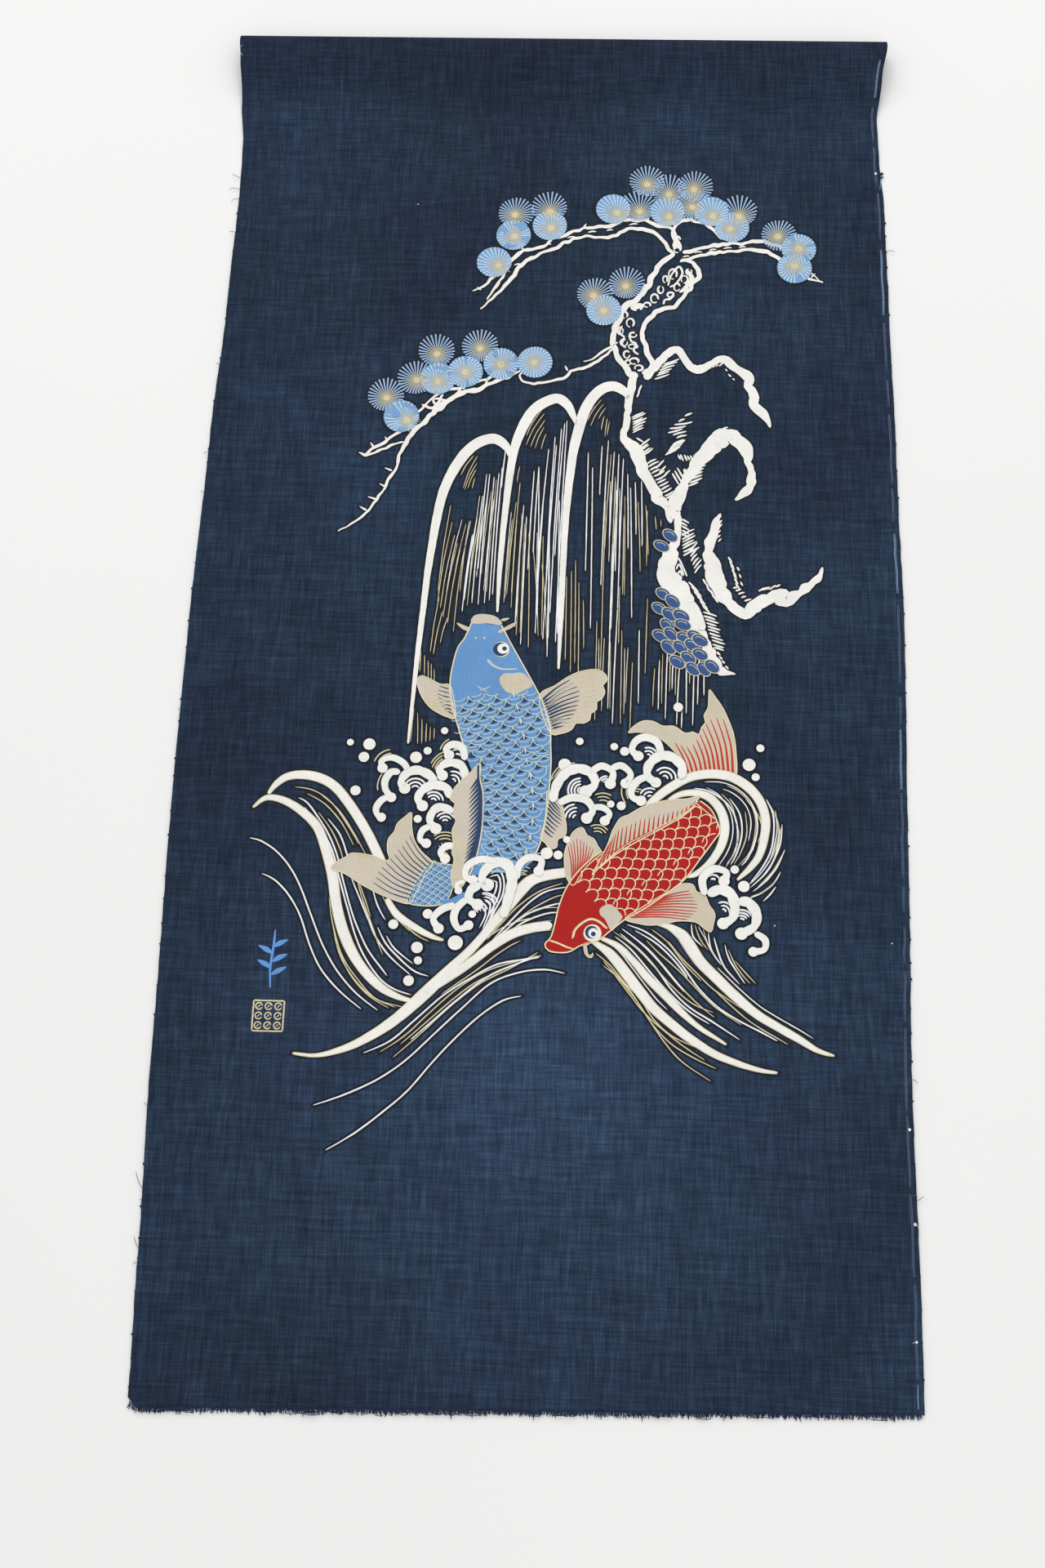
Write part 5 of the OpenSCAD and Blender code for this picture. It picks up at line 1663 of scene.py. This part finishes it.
def add_blue_carp(rim, eyes):
    """Body, scales, fins, fin rays, rims and eye of the blue carp."""
    body = Print("print_blue_carp", 7, CARP_BLUE)
    body.fill(spline(BLUE_RIGHT, 2) + spline(list(reversed(BLUE_LEFT)), 2))
    body.blob(BLUE_TAIL)
    body.level = 12.6
    body.stroke([(-57, -162, 2), (-50, -160.5, 4), (-43, -155.5, 3)])
    body.blob([(-42, -140), (-37, -139), (-32.5, -139.5), (-33, -142.5), (-37, -144),
               (-41.5, -143)])
    body.finish("blue_carp_body", slot="carp_blue_print")

    edges = Print("print_blue_scales", 8.5, GREY_BLUE)
    axis = Axis(BLUE_AXIS)
    centres = scales(edges, axis, BLUE_SCALED, 4.5, 5.5, 45, 0.7)
    tail_axis = Axis(BLUE_TAIL_AXIS)
    tail_centres = scales(edges, tail_axis, ring(BLUE_TAIL, 2), 2.9, 2.1, 0, 0.6)
    roots = Print("print_blue_scale_roots", 8, NAVY_LINE)
    ticks = Print("print_blue_ticks", 9.2, WHITE)
    for d, s in centres:
        edges.stroke([(*axis.place(d + 1.6 * math.sin(a), s + 3.6 * math.cos(a)), 0.6)
                      for a in (0.25, 0.8, 1.57, 2.34, 2.9)], rough=0.05, step=1.2)
        wedge = [axis.place(d + along, s + across) for along, across in ROOT_SHAPE]
        if all(is_inside(p, BLUE_SCALED) for p in wedge):
            roots.star(axis.place(d - 1.2, s), wedge, 1)
        if 8 < s < 15:
            ticks.stroke([(*axis.place(d - 3.2, s + 0.3), 0.6), (*axis.place(d + 0.2, s), 0.8)])
    for d, s in tail_centres:
        x, y = tail_axis.place(d - 0.6, s)
        if is_inside((x, y), ring(BLUE_TAIL, 2)):
            roots.disc(x, y, 0.75, sides=8)
    edges.finish("blue_carp_scales", slot="pale_blue_print")
    roots.finish(slot="navy_print")

    beige = Print("print_blue_carp_fins", 5, BEIGE)
    for fin in BLUE_FINS.values():
        beige.blob(fin)
        outline(rim, fin, 0.6)
        shadow(fin)
    beige.level = 12
    beige.blob(BLUE_DORSAL)
    beige.level = 9
    beige.blob([(-46.5, 22), (-45.5, 27), (-39.5, 28.5), (-31.5, 27), (-27, 22.5),
                (-28, 21), (-36, 22)], rough=0)
    beige.blob([(-27.5, -16.5), (-25, -12), (-19, -11.5), (-12.5, -11.5), (-6.5, -19),
                (-11, -22.5), (-17, -25.5), (-23.5, -23.5)])
    for whisker in ([(-47.5, 17.5, 2.6), (-51.5, 19, 2.8), (-56, 22, 0.8)],
                    [(-29.5, 16, 1.6), (-25, 18.5, 2.4), (-21.5, 20.5, 2.6),
                     (-17.5, 23.5, 0.8)],
                    [(-28, 24.5, 1.4), (-25.5, 25, 2), (-22.5, 26, 0.8)]):
        draw(beige, whisker)
    beige.finish("blue_carp_fins", slot="beige_print")

    lines = Print("print_blue_fin_rays", 9, NAVY_LINE)
    rays(lines, [(0, -29), (2, -34), (4.5, -41), (6.5, -48)],
         [(17, -15), (23, -22), (22, -34), (15, -46)], 12, 1.5, 0.4, 0.04)
    rays(lines, [(-59, -23), (-58, -30), (-56.5, -37), (-55.5, -40)],
         [(-65.5, -21), (-66.5, -26), (-65, -31), (-61.5, -36)], 7, 1.0, 0.25, 0.03)
    rays(lines, [(6, -91), (5, -98), (4.5, -105), (3.5, -114)],
         [(13, -101), (14.5, -109), (12, -113), (9, -119)], 9, 1.3, 0.4, -0.04)
    rays(lines, [(-65, -138), (-70, -144), (-74, -152), (-76.5, -160)],
         [(-79, -120), (-88, -132), (-96, -141), (-100, -150)], 11, 0.8, 0.3, 0.06)
    rays(rim, [(2, -28.5), (3, -35), (6, -43), (8, -49)],
         [(31, -13), (33, -22), (29, -34), (20, -45)], 10, 0.4, 0.3, 0.05)
    rays(rim, [(-59, -24), (-58, -31), (-57, -38)],
         [(-74, -18), (-75, -26), (-67, -36)], 7, 0.4, 0.3, 0.03)
    lines.level = 13
    rays(lines, [(-36.5, -80), (-35, -92), (-34.5, -104), (-35, -118), (-38.5, -133)],
         [(-43.5, -90), (-43.5, -102), (-43, -115), (-44, -129), (-46, -143)], 19, 2.6, 0.3)
    lines.stroke([(x - 0.8, y, 1.8) for x, y in DORSAL_BASE])
    lines.finish(slot="deep_blue_print")

    outline(rim, BLUE_LEFT[:9], 0.8, closed=False)
    outline(rim, BLUE_RIGHT[:14], 0.8, closed=False)
    outline(rim, BLUE_TAIL, 0.6)
    rim.level = 13.4
    outline(rim, DORSAL_BASE, 0.7, closed=False)
    outline(rim, BLUE_DORSAL, 0.5)
    rim.level = 9
    smile = [(-35.5, -2.5, 1.8), (-33, -5.5, 1.7), (-29, -8, 1.4), (-24, -9, 1.2),
             (-16.5, -8.5, 0.8)]
    lines_soft = Print("print_blue_gill", 9, GREY_BLUE)
    lines_soft.stroke(smile)
    for mark in ([(-41.5, -20.5, 0.5), (-38.5, -22.5, 1), (-34.5, -24.5, 0.5)],
                 [(-40, -23.5, 0.5), (-36.5, -22.5, 1), (-32.5, -20.5, 0.5)]):
        lines_soft.stroke(mark)
    lines_soft.disc(-43.5, 12, 0.8)
    lines_soft.disc(-38, 12, 0.8)
    lines_soft.finish(slot="pale_blue_print")
    ticks.finish(slot="white_print")
    shadow(BLUE_RIGHT[:13] + list(reversed(BLUE_LEFT[:10])))
    GROUND.blob(BLUE_DORSAL)

    ring_line, white, dark = eyes
    ring_line.disc(-27, 4.5, 5.2)
    dark.disc(-27.5, 4.5, 4.7)
    white.disc(-26, 5, 3.5)
    dark.level += 2
    dark.disc(-25, 5, 1.5)
    dark.level -= 2
    rays(rim, [(-23, -15), (-11, -15.5)], [(-22, -21), (-12, -21)], 9, 0.35, 0.3)


def add_red_carp(rim, eyes):
    """Body, scales, fins, tail, fin rays, rims and eye of the red carp."""
    body = Print("print_red_carp", 7, CARP_RED)
    body.fill(spline(RED_BODY + RED_BODY[:1], 2)[:-1])
    body.finish("red_carp_body", slot="carp_red_print")

    edges = Print("print_red_scales", 8, PALE_GOLD)
    ticks = Print("print_red_ticks", 9, WHITE)
    axis = Axis(RED_AXIS)
    centres = scales(edges, axis, RED_SCALED, 5.6, 3.9, 20, 0.6)
    for d, s in centres:
        if -9.5 < s < -5:
            ticks.stroke([(*axis.place(d + 1.6, s - 1.1), 0.45), (*axis.place(d + 5.2, s + 0.7), 0.6)],
                         rough=0.03)
    edges.stroke([(8.5, -183.5, 0.8), (13.5, -185, 1), (19.5, -187.5, 1), (23.5, -188.5, 0.6)])
    dots = [(22.5, -181.5), (23.5, -177), (27.5, -172.5), (33, -169.5), (38.5, -171),
            (43, -175)]
    for x, y in resample(dots, 26):
        edges.disc(x, y, 0.55, sides=8)
    # The same arc again, drawn a little nearer to the eye
    eye_x, eye_y = 34.4, -178.4
    edges.stroke([(x - (x - eye_x) * 0.06, y - (y - eye_y) * 0.06, 0.7) for x, y in dots])
    edges.finish("red_carp_scales", slot="gold_print")
    ticks.finish(slot="white_print")

    beige = Print("print_red_carp_fins", 5.4, BEIGE)
    for fin in RED_FINS.values():
        beige.blob(fin)
        outline(rim, fin, 0.6)
        shadow(fin)
    beige.level = 9
    beige.blob(RED_FINS["dorsal"])
    beige.blob([(38.5, -163.5), (41.5, -161), (45.5, -160.5), (50, -164.5), (52.5, -168),
                (51.5, -170), (46.5, -176.5), (45, -176), (42, -170), (39, -167)])
    for whisker in ([(30, -184.5, 1.8), (30.5, -188.5, 2.4), (31.5, -192, 2), (34, -193, 2),
                     (35, -190.5, 1.2)],
                    [(28.5, -186.5, 1), (30.5, -185.5, 1.8), (33.5, -184.5, 1)]):
        draw(beige, whisker)
    beige.level = 1
    beige.blob(RED_TAIL)
    shadow(RED_TAIL)
    beige.finish("red_carp_fins", slot="beige_print")

    lines = Print("print_red_fin_rays", 6.4, RED_LINE)
    rays(lines, [(21.5, -147), (24.5, -143), (29, -137)],
         [(18.5, -124), (24, -119), (34, -125)], 9, 1.1, 0.45, -0.03)
    rays(lines, [(57, -168), (66, -161.5), (75, -155.5)],
         [(92, -168.5), (98, -161), (93, -150.5)], 10, 1.2, 0.5, 0.03)
    lines.level = 10
    rays(lines, [(37, -137), (46, -129.5), (56, -122), (66, -116), (77, -109.5), (88, -102.5),
                 (95, -96.5)],
         [(43, -123), (49, -113), (58, -108), (69, -103.5), (79, -101), (89.5, -97.5),
          (96, -93.5)], 22, 1.3, 0.4)
    lines.stroke([(x, y, 0.7) for x, y in RED_BACK[6:]])
    lines.level = 1.6
    rays(lines, [(92, -77), (99, -76), (107, -75.5), (119, -75.5)],
         [(83, -55), (93, -57), (104, -40), (113, -39)], 11, 1.7, 0.5, -0.05)
    lines.finish(slot="carp_red_print")

    outline(rim, RED_BODY, 0.8)
    rim.level = 11
    outline(rim, RED_FINS["dorsal"], 0.5)
    outline(rim, [(38, -137.5), (46, -130), (56, -123), (66, -117), (77, -110.5),
                  (88.5, -103), (96, -96.5)], 0.8, closed=False)
    rim.level = 1.8
    outline(rim, RED_TAIL, 0.5)
    shadow(RED_BODY)

    ring_line, white, dark = eyes
    ring_line.disc(34.5, -178.5, 5.5)
    white.disc(34.5, -178.5, 5.0)
    dark.level += 2
    dark.disc(34, -178, 4.0)
    dark.level -= 2
    white.level += 2
    white.disc(35, -178.5, 3.1)
    white.level -= 2
    dark.level += 4
    dark.disc(35, -179, 1.5)
    dark.level -= 4


def add_carps():
    rim = Print("print_carp_outlines", 9, PALE_GOLD)
    eyes = (Print("print_eye_rims", 9, PALE_GOLD), Print("print_eye_whites", 11, WHITE),
            Print("print_eye_pupils", 10, NAVY_LINE))
    add_blue_carp(rim, eyes)
    rim.level = 9
    add_red_carp(rim, eyes)
    rim.finish(slot="gold_print")
    eyes[0].finish(slot="gold_print")
    eyes[1].finish("carp_eyes", slot="white_print")
    eyes[2].finish(slot="navy_print")


add_carps()


# ---- corner marks ----

def add_marks():
    """A plain leaf sprig and a plain lattice square."""
    sprig = Print("print_sprig", 1, MARK_BLUE)
    x0, y0 = -158, -200
    sprig.stroke([(x0, y0 - 17, 0.8), (x0 - 0.8, y0 - 4, 1.4), (x0 + 0.2, y0 + 8, 1.5),
                  (x0 + 0.6, y0 + 19, 0.9)])
    for side, height in ((1, -9), (-1, -5), (1, -1), (-1, 4), (1, 8)):
        sprig.stroke([(x0, y0 + height, 0.8), (x0 + side * 4, y0 + height + 2.6, 3.2),
                      (x0 + side * 9, y0 + height + 5, 0.6)])
    sprig.finish("corner_sprig", slot="carp_blue_print")

    square = Print("print_square", 1, GOLD)
    x0, y0 = -158, -234
    half = 9.2
    for a in (-half, half):
        square.stroke([(x0 - half, y0 + a, 0.9), (x0 + half, y0 + a, 0.9)], rough=0.15)
        square.stroke([(x0 + a, y0 - half, 0.9), (x0 + a, y0 + half, 0.9)], rough=0.15)
    for i in (-1, 0, 1):
        for j in (-1, 0, 1):
            cx = x0 + i * 5.8
            cy = y0 + j * 5.8
            loop = [(cx + 2.1 * math.cos(a), cy + 2.1 * math.sin(a), 0.8) for a in range(7)]
            square.stroke(loop, rough=0.12, step=1)
            square.stroke([(cx - 1, cy - 1, 0.7), (cx + 1, cy + 1, 0.7)], rough=0.1)
    square.finish("corner_square", slot="gold_print")


add_marks()


# ---- loose yarns ----

class Yarns:
    """Round yarns of one colour, made of thin tubes and small knots."""

    def __init__(self, name, material):
        self.name = name
        self.material = material
        self.points = []
        self.faces = []

    def strand(self, places, radius, sides=5):
        """A tube through places of (x, y, height above the table)."""
        curve = [Vector(p) for p in places]
        first = len(self.points)
        last = len(curve) - 1
        for i, centre in enumerate(curve):
            along = (curve[min(i + 1, last)] - curve[max(i - 1, 0)]).normalized()
            side = along.cross(Vector((0, 0, 1)))
            side = side.normalized() if side.length > 0.01 else Vector((1, 0, 0))
            up = side.cross(along)
            r = radius * (0.6 if i == last else 1.0)
            for k in range(sides):
                angle = math.tau * k / sides
                point = centre + side * (r * math.cos(angle)) + up * (r * math.sin(angle))
                self.points.append((point.x * MM, point.y * MM, max(point.z, 0.02) * MM))
        for i in range(last):
            for k in range(sides):
                a = first + i * sides + k
                b = first + i * sides + (k + 1) % sides
                self.faces.append((a, a + sides, b + sides, b))
        self.faces.append(tuple(first + k for k in range(sides)))
        self.faces.append(tuple(first + last * sides + k for k in reversed(range(sides))))

    def knot(self, x, y, z, radius, height):
        """A small flattened ball."""
        rings = 5
        sides = 10
        first = len(self.points)
        for j in range(1, rings):
            tilt = math.pi * j / rings
            for k in range(sides):
                angle = math.tau * k / sides
                r = radius * math.sin(tilt) * (1 + 0.15 * wander(x + 9 * angle, y + j, 2))
                self.points.append(((x + r * math.cos(angle)) * MM, (y + r * math.sin(angle)) * MM,
                                    (z + height * math.cos(tilt)) * MM))
        for j in range(rings - 2):
            for k in range(sides):
                a = first + j * sides + k
                b = first + j * sides + (k + 1) % sides
                self.faces.append((a, a + sides, b + sides, b))
        self.faces.append(tuple(first + k for k in range(sides)))
        low = first + (rings - 2) * sides
        self.faces.append(tuple(low + k for k in reversed(range(sides))))

    def finish(self, *nodes, slot):
        piece = new_object(self.name, self.points, self.faces, self.material)
        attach(piece, "panel")
        if nodes:
            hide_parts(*nodes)


def add_fringe():
    """Short ends of the warp left by the cut, with wefts coming loose over them."""
    fringe = Yarns("yarn_fringe", YARN)
    pitch = 0.42
    loose_wefts = 150
    for i in range(int(2 * (HALF_W - 1.5) / pitch)):
        x = -HALF_W + 1.5 + pitch * (i + random.uniform(-0.3, 0.3))
        top = cut_y(x) + random.uniform(0.6, 1.6)
        clump = 0.5 + 0.5 * wander(x, 0, 5, 2.0)
        length = random.uniform(1.4, 3.0) + 1.8 * clump
        if random.random() < 0.04:
            length += 1.5
        end = max(top - length, FRINGE_TIP_Y + 0.3)
        lean = random.uniform(-1.3, 1.3) + 1.2 * wander(x, 3, 9, 6.0)
        height = top_z(x, top) - CLOTH_T / 2 + random.uniform(0.0, 0.4)
        drop = random.uniform(0.25, 0.9)
        shift = bowed_x(x, top) - x
        fringe.strand([(x + shift, top, height),
                       (x + shift + lean * 0.2, top - (top - end) * 0.4, height * 0.8 + 0.4),
                       (x + shift + lean * 0.6, top - (top - end) * 0.75, height * 0.5 + 0.2),
                       (x + shift + lean, end, drop)], 0.24, sides=4)
    for i in range(loose_wefts):
        x = random.uniform(-HALF_W + 6, HALF_W - 12)
        y = cut_y(x) + random.uniform(-2.6, 0.8)
        span = random.uniform(3, 10)
        sway = random.uniform(-0.8, 0.8)
        z = top_z(x, y) + 0.15
        fringe.strand([(x + span * t, y + sway * math.sin(3 * t) + 0.5 * wander(x, t * 4, 1.5),
                        z + 0.3 * math.sin(4 * t)) for t in (0, 0.25, 0.5, 0.75, 1)], 0.2, sides=4)
    fringe.finish("bottom_fringe", slot="indigo_yarn")


LEFT_ENDS = [(352, 7, 3), (343, 8, 0), (335, 6, -2), (308, 5, 1), (205, 3, 2), (140, 4, -1),
             (110, 3, 2), (60, 2, 1), (-40, 2, -1), (-150, 2, 1), (-290, 3, 2), (-338, 5.5, 10),
             (-345, 2, 1), (-372, 4, 7), (-380, 3, -1), (-420, 2, 1)]
RIGHT_ENDS = [(358, 3, 1), (300, 7, 0), (-262, 4, -2), (-332, 5, 3)]


def add_edge_ends():
    """Loose ends along both long edges, with small nubs of yarn between them."""
    nubs_top_y = 340
    for side, rows, name, node in ((-1, LEFT_ENDS, "yarn_left_ends", "left_edge_ends"),
                                   (1, RIGHT_ENDS, "yarn_right_ends", "right_edge_ends")):
        ends = Yarns(name, YARN)
        for y, length, rise in rows:
            edge = bowed_x(side * HALF_W, y)
            line = []
            for k in range(6):
                t = k / 5
                line.append((edge + side * (length * t - 0.8), y + rise * t * t + 0.6 * math.sin(3 * t),
                             0.35 + 1.2 * math.sin(2.6 * t)))
            ends.strand(line, 0.16)
        y = cut_y(side * HALF_W) + 5
        while y < nubs_top_y:
            reach = 0.35 + 0.4 * random.random()
            edge = bowed_x(side * HALF_W, y)
            ends.knot(edge + side * (reach - 0.5), y, 0.5, reach, 0.4)
            y += random.uniform(9, 26)
        if side > 0:
            edge = bowed_x(HALF_W, 352)
            ends.knot(edge + 0.2, 362, 0.7, 1.2, 0.6)
            ends.knot(edge + 0.2, 359, 0.6, 0.8, 0.5)
        ends.finish(node, slot="indigo_yarn")


def add_tracer():
    """The pale yarn woven in along the right edge, showing here and there."""
    bright = Yarns("yarn_tracer", PALE_YARN)
    faint = Yarns("yarn_tracer_sunk", SUNK_YARN)
    tracer_top_y = 445
    y = cut_y(HALF_W) + 3
    while y < tracer_top_y - 5:
        span = random.uniform(12, 55)
        top = min(y + span, tracer_top_y)
        near_cut = y < -430
        target = bright if near_cut or random.random() < 0.18 else faint
        count = max(2, int((top - y) / 6))
        for lane in ((0.0,) if near_cut else (-0.45, 0.35)):
            line = []
            for k in range(count + 1):
                v = y + (top - y) * k / count
                u = bowed_x(TRACER_X, v) + lane + 0.35 * wander(v, 0, 14, 4.4)
                line.append((u, v, top_z(u, v) + 0.02))
            target.strand(line, 0.42 if near_cut else 0.3)
        y = top + random.uniform(2, 9)
    slant = [(TRACER_X - 0.2 - t * 1.4, 360 - 11 * t) for t in (0, 0.5, 1)]
    bright.strand([(x, v, top_z(x, v) + 0.05) for x, v in slant], 0.35)
    bright.finish("tracer_yarn", slot="pale_yarn")
    faint.finish(slot="pale_yarn")


def add_knots():
    """White knots near the edges, some with a short end of yarn."""
    knots = Yarns("yarn_knots", WHITE_YARN)
    for x, y, radius in ((TRACER_X + 0.2, 362, 1.0), (TRACER_X + 0.8, -291, 1.0),
                         (TRACER_X + 1.6, -345, 1.0), (TRACER_X + 0.2, -410, 0.8)):
        u = bowed_x(x, y)
        knots.knot(u, y, top_z(u, y) + 0.25, radius, 0.6)
    for x, y in ((144, -171), (214, -180), (-96, 333)):
        knots.knot(x, y, top_z(x, y) + 0.1, 0.45, 0.25)
    for x, y, dx, dy in ((TRACER_X + 1.6, -345, 3.4, -6), (TRACER_X + 0.2, -410, -2.5, -0.6)):
        u = bowed_x(x, y)
        knots.strand([(u + dx * t, y + dy * t * t, top_z(u, y) + 0.3 + t * (1 - t))
                      for t in (0, 0.25, 0.5, 0.75, 1)], 0.14)
    top = FOLD_Y - 4
    knots.strand([(-HALF_W + 0.5 - 1.5 * math.sin(4 * t), top - 9 * t, top_z(-HALF_W, top) + 0.2)
                  for t in (0, 0.25, 0.5, 0.75, 1)], 0.12)
    knots.finish("slub_knots", slot="white_yarn")


add_fringe()
add_edge_ends()
add_tracer()
add_knots()


GROUND.finish("ground_print", slot="navy_print")
